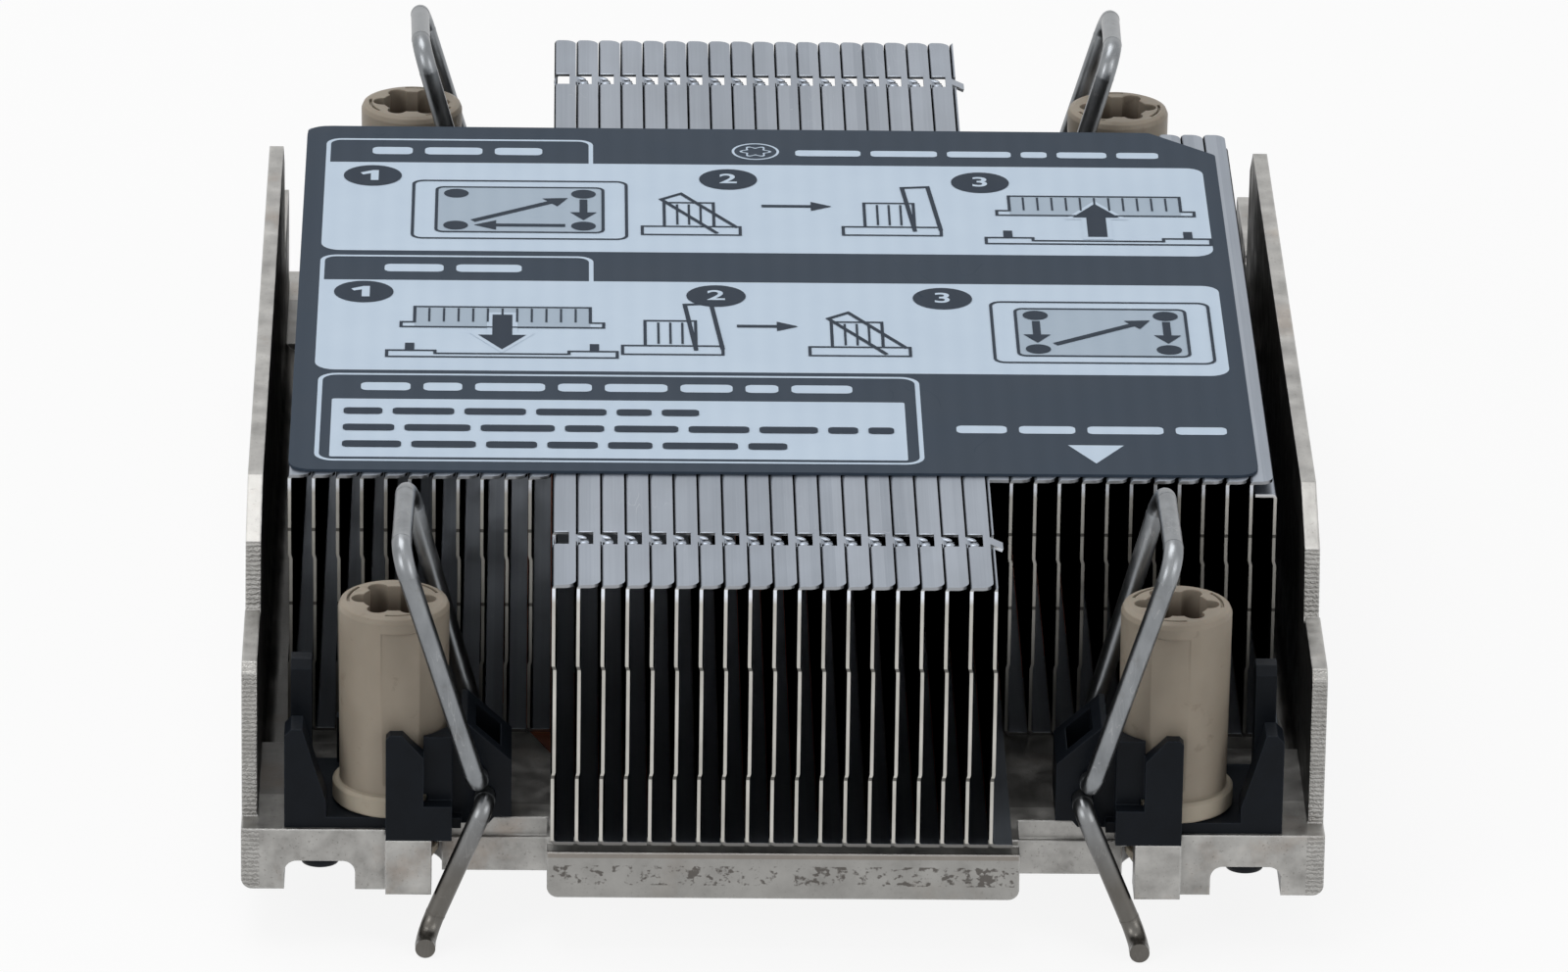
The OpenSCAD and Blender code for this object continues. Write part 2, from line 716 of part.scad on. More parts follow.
// One clip, in the corner's own directions.
module clip() color(black_plastic) {
    outer_x = snap_x - arch_w / 2;
    plate_front = -4;
    plate_back = 6.9;
    near = axle_x - 1.7;
    far = axle_x + 1.9;
    difference() {
        union() {
            // floor plate under the nut's flange
            span([outer_x, plate_front, pad_z], [near, plate_back, clip_floor_z]);
            along_y(plate_front, -1.4) translate([0, pad_z]) ear_outline(outer_x);
            along_x(outer_x + 0.4, outer_x + 1.9) translate([0, pad_z]) post_outline();
            clip_block(-0.5, axle_x - wire_d - 0.9, near + 0.3);
            along_y(-3, 3.2) translate([0, pad_z]) journal_outline(near, far);
            // low wall behind the nut
            span([-4.2, plate_back - 0.9, pad_z], [3.4, plate_back, pad_z + clip_back_h]);
            for (y = snap_ys) translate([snap_x, y, 0]) snap_foot();
        }
        // room for the nut's flange, and above it for its body
        translate([0, 0, clip_floor_z])
            cylinder(r = nut_flange_r + clip_nut_air, h = nut_flange_t + clip_nut_air);
        translate([0, 0, clip_floor_z]) cylinder(r = nut_r + clip_nut_air, h = 20);
        translate([0, 0, -1]) cylinder(r = shank_hole_r, h = 20);
        // bore for the wire's axle
        translate([axle_x, 8, axle_height]) rotate([90, 0, 0])
            cylinder(r = wire_r + axle_clear, h = 16);
        // hollow moulded into the side wall above the journal
        span([near + 1.0, -1.9, axle_height + 1.6], [far - 0.8, 2.1, axle_height + 7]);
    }
}

// ---------------------------------------------------------------- wires

function unit(v) = v / norm(v);

// The direction of a wire from its corner point i to the next one.
function way(p, i) = unit(p[i + 1] - p[i]);

// How far from corner point i its bend starts.
function setback(p, radii, i) =
    i == 0 || i == len(p) - 1 ? 0 : radii[i] * tan(acos(way(p, i - 1) * way(p, i)) / 2);

// Turns what stands along Z to the direction d, at the point a.
module aim(a, d) {
    translate(a) rotate([0, acos(d[2] / norm(d)), atan2(d[1], d[0])]) children();
}

// The bend at a corner point, where the direction changes from u to v, with a
// thin collar around each of its ends. Where its first end would lie straight
// above or below its middle, it is drawn from its other end.
module elbow(corner, u, v, r) {
    inward = unit(v - (u * v) * u);
    if (abs(inward[2]) > 0.7) elbow(corner, -v, -u, r);
    else {
        turn = acos(u * v);
        middle = corner - r * tan(turn / 2) * u + r * inward;
        across = cross(u, inward);
        half_collar = collar_len / 2 / r * 180 / PI;
        translate(middle)
            rotate([atan2(u[2], across[2]), asin(inward[2]), atan2(-inward[1], -inward[0])]) {
                rotate_extrude(angle = turn) translate([r, 0]) circle(wire_r);
                for (end = [0, turn])
                    rotate(end - half_collar) rotate_extrude(angle = 2 * half_collar)
                        translate([r, 0]) circle(wire_r + seam);
            }
    }
}

// Wire along a row of corner points, with a radius at each. A straight stretch
// stops just short of a bend, inside the collar at the bend's end.
module bent_wire(p, radii) {
    for (i = [0 : len(p) - 2]) {
        from = i > 0 ? setback(p, radii, i) + seam : 0;
        to = norm(p[i + 1] - p[i]) - (i < len(p) - 2 ? setback(p, radii, i + 1) + seam : 0);
        aim(p[i], way(p, i)) translate([0, 0, from]) cylinder(r = wire_r, h = to - from);
    }
    for (i = [1 : len(p) - 2]) elbow(p[i], way(p, i - 1), way(p, i), radii[i]);
}

// One wire, with its axle's middle at the origin: axle, rear leg, cross bar,
// front leg and the short end that turns in above the axle, and then the hook.
// The front leg stands at -Y, or at +Y with a side of -1.
module wire(side) color(steel) {
    foot_y = side * leg_y;
    top_y = side * (leg_y + leg_spread);
    rotate([0, -leg_lean, 0]) bent_wire([
        [0, 0, 0],
        [0, foot_y, 0],
        [bar_skew, top_y, leg_len + leg_extra],
        [0, -top_y, leg_len],
        [0, -foot_y, stub_rise],
        [0, -foot_y + side * (bend_axle_r + stub_end), stub_rise],
    ], [0, bend_axle_r, bend_bar_r, bend_bar_r, bend_axle_r, 0]);
    rotate([0, hook_lean, 0]) bent_wire([
        [0, 0, 0],
        [0, -foot_y, 0],
        [0, -foot_y, -hook_len],
        [0, -foot_y - side * hook_reach, -hook_len],
    ], [0, bend_axle_r, bend_hook_r, 0]);
}

// Places a wire at one corner by a turn alone: on the right side it is turned
// by half, and the corners where the front leg would then face inwards take
// the turned-over wire.
module wire_at_corner(sx, sy) {
    translate([sx * nut_x, sy * nut_y, 0]) rotate(sx > 0 ? 180 : 0)
        translate([axle_x, 0, axle_height]) wire(sx * sy);
}

// ---------------------------------------------------------------- assembly

base_plate();
for (k = [0 : len(pipes) - 1])
    color(copper) heat_pipe(k, pipe_w, pipe_depth);
for (i = [0 : fin_count - 1])
    fin(i);
label();
for (c = corners) {
    at_corner(c[1], c[2]) nut();
    at_corner(c[1], c[2]) clip();
    wire_at_corner(c[1], c[2]);
}
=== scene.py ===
# %% [markdown]
# # Dressing a passive server heatsink
#
# The object is a low, finned cooler for a server processor. Its pieces, sizes and joints come from
# a CAD model, which is loaded here as a fixed frame. This lesson adds what the frame can't hold:
# metal that looks rolled, milled or drawn, moulded plastic, a printed label and small marks of
# use. Each cell does one step and prints what it made.

# %% Load the frame
import math
import random

import bmesh
import bpy
from mathutils import Matrix, Vector


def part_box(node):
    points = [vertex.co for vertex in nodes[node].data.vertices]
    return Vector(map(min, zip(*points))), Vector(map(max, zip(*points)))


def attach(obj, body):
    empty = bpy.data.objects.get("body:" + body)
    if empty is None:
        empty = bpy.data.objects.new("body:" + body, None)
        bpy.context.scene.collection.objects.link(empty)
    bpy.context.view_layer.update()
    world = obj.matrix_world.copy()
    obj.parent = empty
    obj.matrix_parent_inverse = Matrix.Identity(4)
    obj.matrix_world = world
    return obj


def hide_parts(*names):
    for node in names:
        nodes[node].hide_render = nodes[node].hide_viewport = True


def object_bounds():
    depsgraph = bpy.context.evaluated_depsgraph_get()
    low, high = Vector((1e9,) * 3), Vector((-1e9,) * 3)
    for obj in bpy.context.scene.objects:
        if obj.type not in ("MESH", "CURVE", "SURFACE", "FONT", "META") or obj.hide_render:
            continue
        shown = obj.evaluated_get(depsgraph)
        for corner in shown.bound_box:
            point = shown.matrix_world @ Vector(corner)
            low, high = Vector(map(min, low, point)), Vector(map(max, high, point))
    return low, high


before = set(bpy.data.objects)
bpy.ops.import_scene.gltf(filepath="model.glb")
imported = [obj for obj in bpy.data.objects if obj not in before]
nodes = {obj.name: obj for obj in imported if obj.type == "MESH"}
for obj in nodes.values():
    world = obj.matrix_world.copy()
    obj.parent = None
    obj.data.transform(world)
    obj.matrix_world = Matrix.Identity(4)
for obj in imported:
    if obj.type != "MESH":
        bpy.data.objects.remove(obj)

MM = 0.001
cad_low, cad_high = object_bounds()
stage = bpy.context.scene.collection

# %% [markdown]
# ## The camera
#
# A product picture of a small thing is often taken from far away with a long lens, so that
# parallel edges stay nearly parallel. Here the camera stands almost 0.9 m in front of the
# heatsink and looks down on it at about 22 degrees. Three angles and one place are easier to
# read than a matrix, so the camera's three axes are worked out from them.

# %% Camera
PITCH, YAW, ROLL = math.radians(21.8), math.radians(1.22), math.radians(0.87)
camera_place = Vector((-17.70, -871.5, 357.6)) * MM
ahead = Vector((math.sin(YAW) * math.cos(PITCH), math.cos(YAW) * math.cos(PITCH), -math.sin(PITCH)))
level = Vector((math.cos(YAW), -math.sin(YAW), 0))
upright = level.cross(ahead)
right = math.cos(ROLL) * level + math.sin(ROLL) * upright
up = -math.sin(ROLL) * level + math.cos(ROLL) * upright

lens = bpy.data.cameras.new("long_lens")
lens.lens, lens.sensor_width = 283.5, 36
lens.clip_start, lens.clip_end = 0.05, 20
camera = bpy.data.objects.new("camera", lens)
rows = [(right[i], up[i], -ahead[i], camera_place[i]) for i in range(3)]
camera.matrix_world = Matrix(rows + [(0, 0, 0, 1)])
stage.objects.link(camera)
bpy.context.scene.camera = camera
print("camera", [round(v / MM, 1) for v in camera.matrix_world.translation], "mm")

# %% [markdown]
# ## A small kit for shader nodes
#
# A material in Blender is a graph of nodes. Writing each node and link by hand takes many lines,
# so three helpers do it: one adds a node with its inputs, one does sums on masks and one mixes
# colours. An input that is given another node's output becomes a link.

# %% Shader helpers
def srgb(red, green, blue):
    """A colour as paint charts give it, 0 to 255, turned into the linear values that shaders use."""
    def linear(value):
        value /= 255
        return value / 12.92 if value <= 0.04045 else ((value + 0.055) / 1.055) ** 2.4
    return (linear(red), linear(green), linear(blue), 1)


def add(tree, kind, inputs=None, **settings):
    """Adds one shader node. inputs maps a socket to a value or to another node's output."""
    node = tree.nodes.new("ShaderNode" + kind)
    for name, value in settings.items():
        setattr(node, name, value)
    for socket, value in (inputs or {}).items():
        if isinstance(value, bpy.types.NodeSocket):
            tree.links.new(value, node.inputs[socket])
        else:
            node.inputs[socket].default_value = value
    return node


def calc(tree, operation, a, b=0.0, clamp=False):
    """The result of one sum on two values or outputs."""
    return add(tree, "Math", {0: a, 1: b}, operation=operation, use_clamp=clamp).outputs[0]


def blend(tree, mask, a, b):
    """Colour a where the mask is 0 and colour b where it is 1."""
    return add(tree, "Mix", {0: mask, 6: a, 7: b}, data_type="RGBA").outputs[2]


def spread(tree, value, low, high, to_low=0.0, to_high=1.0):
    """A value from low to high, spread over the range from to_low to to_high."""
    return add(tree, "MapRange", {0: value, 1: low, 2: high, 3: to_low, 4: to_high}).outputs[0]


print("helpers ready")

# %% [markdown]
# ## Shared surface effects
#
# Most finishes on this object share a few effects. Sharp edges get rounded normals, and the
# same edge mask lets several materials paint a painted highlight along them. Rolled and milled
# sheet has fine lines in one direction. Cast and plated metal has stains. Each effect is a node
# group with named inputs and outputs, so that every material can place it with its own numbers.

# %% Group: a new shared effect
def new_effect(name, inputs, outputs):
    """An empty node group with its sockets, and its input and output nodes."""
    tree = bpy.data.node_groups.new(name, "ShaderNodeTree")
    for label, kind, value in inputs:
        socket = tree.interface.new_socket(label, in_out="INPUT", socket_type="NodeSocket" + kind)
        if value is not None:
            socket.default_value = value
    for label, kind in outputs:
        tree.interface.new_socket(label, in_out="OUTPUT", socket_type="NodeSocket" + kind)
    return tree, tree.nodes.new("NodeGroupInput").outputs, tree.nodes.new("NodeGroupOutput").inputs


def place(tree, effect, **inputs):
    """Places a shared effect in a material. An underscore in an input's name stands for a space."""
    node = tree.nodes.new("ShaderNodeGroup")
    node.node_tree = effect
    for label, value in inputs.items():
        socket = node.inputs[label.replace("_", " ")]
        if isinstance(value, bpy.types.NodeSocket):
            tree.links.new(value, socket)
        else:
            socket.default_value = value
    return node.outputs


print("effects can be made")

# %% Group: soft edges
def make_soft_edges():
    """Rounds the normals near sharp edges and says where those edges are."""
    tree, given, result = new_effect(
        "soft edges", [("Radius", "Float", 0.0002), ("Strength", "Float", 4.0)],
        [("Mask", "Float"), ("Normal", "Vector")])
    bevel = add(tree, "Bevel", {"Radius": given["Radius"]}, samples=4)
    flat = add(tree, "NewGeometry").outputs["Normal"]
    same = add(tree, "VectorMath", {0: bevel.outputs[0], 1: flat}, operation="DOT_PRODUCT").outputs["Value"]
    turned = calc(tree, "SUBTRACT", 1.0, same)
    tree.links.new(calc(tree, "MULTIPLY", turned, given["Strength"], clamp=True), result["Mask"])
    tree.links.new(bevel.outputs[0], result["Normal"])
    return tree


soft_edges = make_soft_edges()
print("made", soft_edges.name)

# %% Group: grain
def make_grain():
    """Fine lines or speckles: noise over coordinates that are stretched in each direction."""
    tree, given, result = new_effect(
        "grain", [("Vector", "Vector", None), ("Stretch", "Vector", (1000, 1000, 1000)),
                  ("Detail", "Float", 3.0), ("Contrast", "Float", 1.0)],
        [("Value", "Float")])
    where = add(tree, "VectorMath", {0: given["Vector"], 1: given["Stretch"]}, operation="MULTIPLY")
    noise = add(tree, "TexNoise", {"Vector": where.outputs[0], "Scale": 1.0, "Detail": given["Detail"]})
    centred = calc(tree, "SUBTRACT", noise.outputs[0], 0.5)
    value = calc(tree, "ADD", calc(tree, "MULTIPLY", centred, given["Contrast"]), 0.5, clamp=True)
    tree.links.new(value, result["Value"])
    return tree


grain = make_grain()
print("made", grain.name)

# %% Group: stains
def make_stains():
    """Soft patches: broad noise, cut at a threshold."""
    tree, given, result = new_effect(
        "stains", [("Vector", "Vector", None), ("Scale", "Float", 200.0), ("Threshold", "Float", 0.55),
                   ("Softness", "Float", 0.1)],
        [("Mask", "Float")])
    noise = add(tree, "TexNoise", {"Vector": given["Vector"], "Scale": given["Scale"], "Detail": 5.0,
                                   "Roughness": 0.62})
    end = calc(tree, "ADD", given["Threshold"], given["Softness"])
    mask = add(tree, "MapRange", {0: noise.outputs[0], 1: given["Threshold"], 2: end}).outputs[0]
    tree.links.new(mask, result["Mask"])
    return tree


stains = make_stains()
print("made", stains.name)

# %% Group: scratches
def make_scratches():
    """Thin lines: the places where stretched noise passes through its middle value."""
    tree, given, result = new_effect(
        "scratches", [("Vector", "Vector", None), ("Stretch", "Vector", (600, 40, 600)),
                      ("Width", "Float", 0.004), ("Share", "Float", 0.5)],
        [("Mask", "Float")])
    where = add(tree, "VectorMath", {0: given["Vector"], 1: given["Stretch"]}, operation="MULTIPLY")
    noise = add(tree, "TexNoise", {"Vector": where.outputs[0], "Scale": 1.0, "Detail": 1.0})
    off_middle = calc(tree, "ABSOLUTE", calc(tree, "SUBTRACT", noise.outputs[0], 0.5))
    line = calc(tree, "LESS_THAN", off_middle, given["Width"])
    patch = add(tree, "TexNoise", {"Vector": given["Vector"], "Scale": 180.0, "Detail": 2.0})
    chosen = calc(tree, "LESS_THAN", patch.outputs[0], given["Share"])
    tree.links.new(calc(tree, "MULTIPLY", line, chosen), result["Mask"])
    return tree


scratches = make_scratches()
print("made", scratches.name)

# %% [markdown]
# ## A material's start and finish
#
# Every material below starts the same way: a Principled shader and the object's coordinates. The
# CAD nodes stand at the origin, so object coordinates are metres in the object's own frame, and
# a pattern stays on its piece when a joint moves it. The last helper joins colour, roughness
# and height to the shader.

# %% Material start and finish
def new_material(name, metallic=0.0, **constants):
    """A material with its Principled shader, and the object coordinates."""
    material = bpy.data.materials.new(name)
    material.use_nodes = True
    tree = material.node_tree
    shader = tree.nodes["Principled BSDF"]
    shader.inputs["Metallic"].default_value = metallic
    for label, value in constants.items():
        shader.inputs[label.replace("_", " ")].default_value = value
    return material, tree, shader, add(tree, "TexCoord").outputs["Object"]


def dress(tree, shader, colour, roughness, height=None, depth=0.00002, normal=None):
    """Joins colour, roughness and surface height to the shader."""
    tree.links.new(colour, shader.inputs["Base Color"])
    tree.links.new(roughness, shader.inputs["Roughness"])
    if height is not None:
        bump = add(tree, "Bump", {"Height": height, "Distance": depth})
        if normal is not None:
            tree.links.new(normal, bump.inputs["Normal"])
        normal = bump.outputs[0]
    if normal is not None:
        tree.links.new(normal, shader.inputs["Normal"])


def paint(material, *names):
    """Gives a material to CAD nodes."""
    for name in names:
        slots = nodes[name].data.materials
        slots.clear()
        slots.append(material)


def new_piece(name, mesh, material):
    """An object made of a finished bmesh, in one material."""
    data = bpy.data.meshes.new(name)
    mesh.to_mesh(data)
    mesh.free()
    data.materials.append(material)
    piece = bpy.data.objects.new(name, data)
    stage.objects.link(piece)
    return piece


print("materials and pieces can be made")

# %% [markdown]
# ## Which way a face looks
#
# A folded or cut piece of metal is painted differently from face to face: a sheared edge is painted
# brighter than the rolled skin beside it, as a painted highlight, and the skin deep between two fins
# is painted dark, as painted shade. Every material can tell these faces apart by the direction that
# they face in the object's own frame, so one group gives that direction as three masks.

# %% Group: facing
def make_facing():
    """How far a face looks along each axis of the object, from 0 to 1, either way."""
    tree, given, result = new_effect(
        "facing", [("Sharpness", "Float", 4.0)],
        [("Across", "Float"), ("Along", "Float"), ("Up", "Float")])
    normal = add(tree, "NewGeometry").outputs["Normal"]
    local = add(tree, "VectorTransform", {0: normal}, vector_type="NORMAL",
                convert_from="WORLD", convert_to="OBJECT").outputs[0]
    for part, label in zip(add(tree, "SeparateXYZ", {0: local}).outputs, ("Across", "Along", "Up")):
        size = calc(tree, "ABSOLUTE", part)
        over = calc(tree, "MULTIPLY", calc(tree, "SUBTRACT", size, 0.7), given["Sharpness"])
        tree.links.new(calc(tree, "ADD", over, 0.5, clamp=True), result[label])
    return tree


facing = make_facing()
print("made", facing.name)

# %% [markdown]
# ## Fins: rolled aluminium sheet
#
# A fin is punched and folded from bright sheet. The rolling leaves faint lines along the sheet,
# and each fin comes off the coil with a slightly different tone. The sheared ends are painted
# brighter than the skin as a painted highlight, most of all over their top millimetre, where the
# bend rounds over and a bluish white band is painted, while the flanges' own cut edges stay grey.
# Two stamped jogs cross each end as small dark ticks, higher up on the short fins. Low down between
# the clips little light reaches the short fins' ends, so they are painted darker there as painted
# shade. The wide sides are the same bright sheet as the flanges, but they look almost black,
# because little light gets in between two fins. In this light the gaps alone don't turn that dark,
# so the sides are painted dark and matt. That is a shortcut and not a finish of the real sheet:
# seen from the side, or taken apart, the fins would be as bright as their tops.

# %% Fin metal
FIN_PITCH = 1.7524 * MM
FIN_TOP = 24.2 * MM
FLANGE_EDGE = 23.94 * MM
FOOT_EDGE = 4.32 * MM
SHORT_FIN_REACH = 38 * MM
LONG_JOGS = (9.3 * MM, 17.75 * MM)
SHORT_JOGS = (14.1 * MM, 19.9 * MM)


def near_height(tree, height, place, reach):
    """1 at one height and 0 further than reach from it."""
    off = calc(tree, "ABSOLUTE", calc(tree, "SUBTRACT", height, place))
    return calc(tree, "LESS_THAN", off, reach)


def make_fin_metal():
    material, tree, shader, where = new_material("fin_metal", metallic=1.0, Specular_IOR_Level=0.0)
    lines = place(tree, grain, Vector=where, Stretch=(8000, 70, 8000), Contrast=1.3)["Value"]
    cloud = place(tree, grain, Vector=where, Stretch=(260, 120, 260), Detail=5.0, Contrast=1.5)["Value"]
    edges = place(tree, soft_edges, Radius=0.06 * MM, Strength=2.0)
    face = place(tree, facing)
    axes = add(tree, "SeparateXYZ", {0: where}).outputs
    fin_number = calc(tree, "FLOOR", calc(tree, "DIVIDE", axes[0], FIN_PITCH))
    tone = add(tree, "TexWhiteNoise", {"W": fin_number}, noise_dimensions="1D").outputs[0]
    marks = place(tree, scratches, Vector=where, Stretch=(900, 160, 900), Width=0.003, Share=0.36)["Mask"]
    level = calc(tree, "ADD", calc(tree, "MULTIPLY", tone, 0.3), calc(tree, "MULTIPLY", lines, 0.25))
    level = calc(tree, "ADD", level, calc(tree, "MULTIPLY", cloud, 0.45))
    skin = blend(tree, level, srgb(120, 128, 139), srgb(162, 169, 179))
    skin = blend(tree, calc(tree, "MULTIPLY", marks, 0.3), skin, srgb(196, 199, 203))
    # painted highlight: the skin is painted lighter along its sharp edges
    skin = blend(tree, calc(tree, "MULTIPLY", edges["Mask"], 0.35), skin, srgb(200, 203, 207))
    streaks = place(tree, grain, Vector=where, Stretch=(200, 420, 9), Detail=2.0, Contrast=2.6)["Value"]
    side = blend(tree, streaks, srgb(3, 3, 4), srgb(28, 28, 29))
    # the cut ends, with their ticks
    distance = calc(tree, "ABSOLUTE", axes[1])
    short = calc(tree, "LESS_THAN", distance, SHORT_FIN_REACH)
    # painted highlight: the cut ends are painted brighter than the skin, and bluish white where the bend
    # rounds over near the top
    cut_end = blend(tree, cloud, srgb(164, 162, 155), srgb(204, 202, 196))
    bend_highlight = calc(tree, "MULTIPLY", spread(tree, axes[2], 22.8 * MM, 23.4 * MM),
                calc(tree, "LESS_THAN", axes[2], 23.9 * MM))
    cut_end = blend(tree, bend_highlight, cut_end, srgb(226, 231, 238))
    flange = calc(tree, "GREATER_THAN", axes[2], FLANGE_EDGE)
    cut_end = blend(tree, flange, cut_end, srgb(150, 153, 157))
    for low, high in zip(LONG_JOGS, SHORT_JOGS):
        jog = calc(tree, "ADD", low, calc(tree, "MULTIPLY", short, high - low))
        tick = near_height(tree, axes[2], jog, 0.13 * MM)
        cut_end = blend(tree, calc(tree, "MULTIPLY", tick, 0.8), cut_end, srgb(52, 50, 48))
    foot = calc(tree, "LESS_THAN", axes[2], FOOT_EDGE)
    cut_end = blend(tree, foot, cut_end, srgb(112, 111, 109))
    # the cut ends are painted darker near their edges, which narrows the painted highlight to a thin line
    cut_end = blend(tree, calc(tree, "MULTIPLY", edges["Mask"], 0.7), cut_end, srgb(70, 70, 71))
    # painted shade: the short fins' ends are painted darker low down between the clips
    shade = calc(tree, "MULTIPLY", short, spread(tree, axes[2], 15 * MM, 7 * MM))
    cut_end = blend(tree, calc(tree, "MULTIPLY", shade, 0.8), cut_end, srgb(44, 44, 44))
    colour = blend(tree, face["Across"], skin, side)
    colour = blend(tree, face["Along"], colour, cut_end)
    # the wide sides are painted matt, in place of the dark gaps that they stand in
    tree.links.new(calc(tree, "SUBTRACT", 1.0, face["Across"]), shader.inputs["Metallic"])
    rough = spread(tree, cloud, 0.2, 0.8, 0.30, 0.42)
    rough = calc(tree, "MAXIMUM", rough, calc(tree, "MULTIPLY", face["Across"], 0.85))
    dress(tree, shader, colour, rough, lines, 0.003 * MM, edges["Normal"])
    return material


fin_metal = make_fin_metal()
fins = sorted(name for name in nodes if name.startswith("fin_"))
paint(fin_metal, *fins)
print("fins painted:", len(fins))

# %% [markdown]
# ## Curled locks on the long fins
#
# Each long fin hooks a tongue into a window in the next one. When the press closes them, the
# tongue curls over: its end swells into a small bright knob, the window's back edge rolls into a
# lip, and the fold beside it is squeezed to a thin bright ridge. The frame has the windows and
# the straight tongues, so only these soft, pressed shapes are added on top of them.

# %% Lock curls
LOCK_INSET = 9 * MM


def swell(mesh, centre, radii, turn=0.0):
    """A smooth egg shape with its own radius in each direction, turned about the upright axis."""
    matrix = Matrix.Translation(centre) @ Matrix.Rotation(turn, 4, "Z") @ Matrix.Diagonal((*radii, 1))
    bmesh.ops.create_uvsphere(mesh, u_segments=14, v_segments=8, radius=1.0, matrix=matrix)


def make_lock_curls():
    """Knobs, lips and ridges along both lock rows, as one piece."""
    mesh = bmesh.new()
    boxes = [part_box(name) for name in fins]
    long_boxes = sorted((box for box in boxes if box[1].y > 45 * MM), key=lambda box: box[0].x)
    for number, (low, high) in enumerate(long_boxes[:-1]):
        for row in (-1, 1):
            y = row * (high.y - LOCK_INSET)
            x = low.x
            swell(mesh, Vector((x + 0.72 * MM, y + 1.16 * MM, FIN_TOP - 0.03 * MM)),
                  (0.66 * MM, 0.11 * MM, 0.08 * MM))
            swell(mesh, Vector((x + 0.06 * MM, y - 0.35 * MM, FIN_TOP - 0.16 * MM)),
                  (0.09 * MM, 0.8 * MM, 0.13 * MM))
            if number == 0:
                continue
            swell(mesh, Vector((x + 0.56 * MM, y - 0.62 * MM, FIN_TOP - 0.2 * MM)),
                  (0.40 * MM, 0.34 * MM, 0.2 * MM), 0.2)
            swell(mesh, Vector((x + 0.3 * MM, y + 0.35 * MM, FIN_TOP - 0.12 * MM)),
                  (0.52 * MM, 0.24 * MM, 0.13 * MM), -0.6)
    for face in mesh.faces:
        face.smooth = True
    curls = new_piece("lock_curls", mesh, fin_metal)
    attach(curls, "heatsink")
    return curls, len(long_boxes)


lock_curls, long_fins = make_lock_curls()
print("curls on", long_fins, "long fins:", len(lock_curls.data.polygons), "faces")
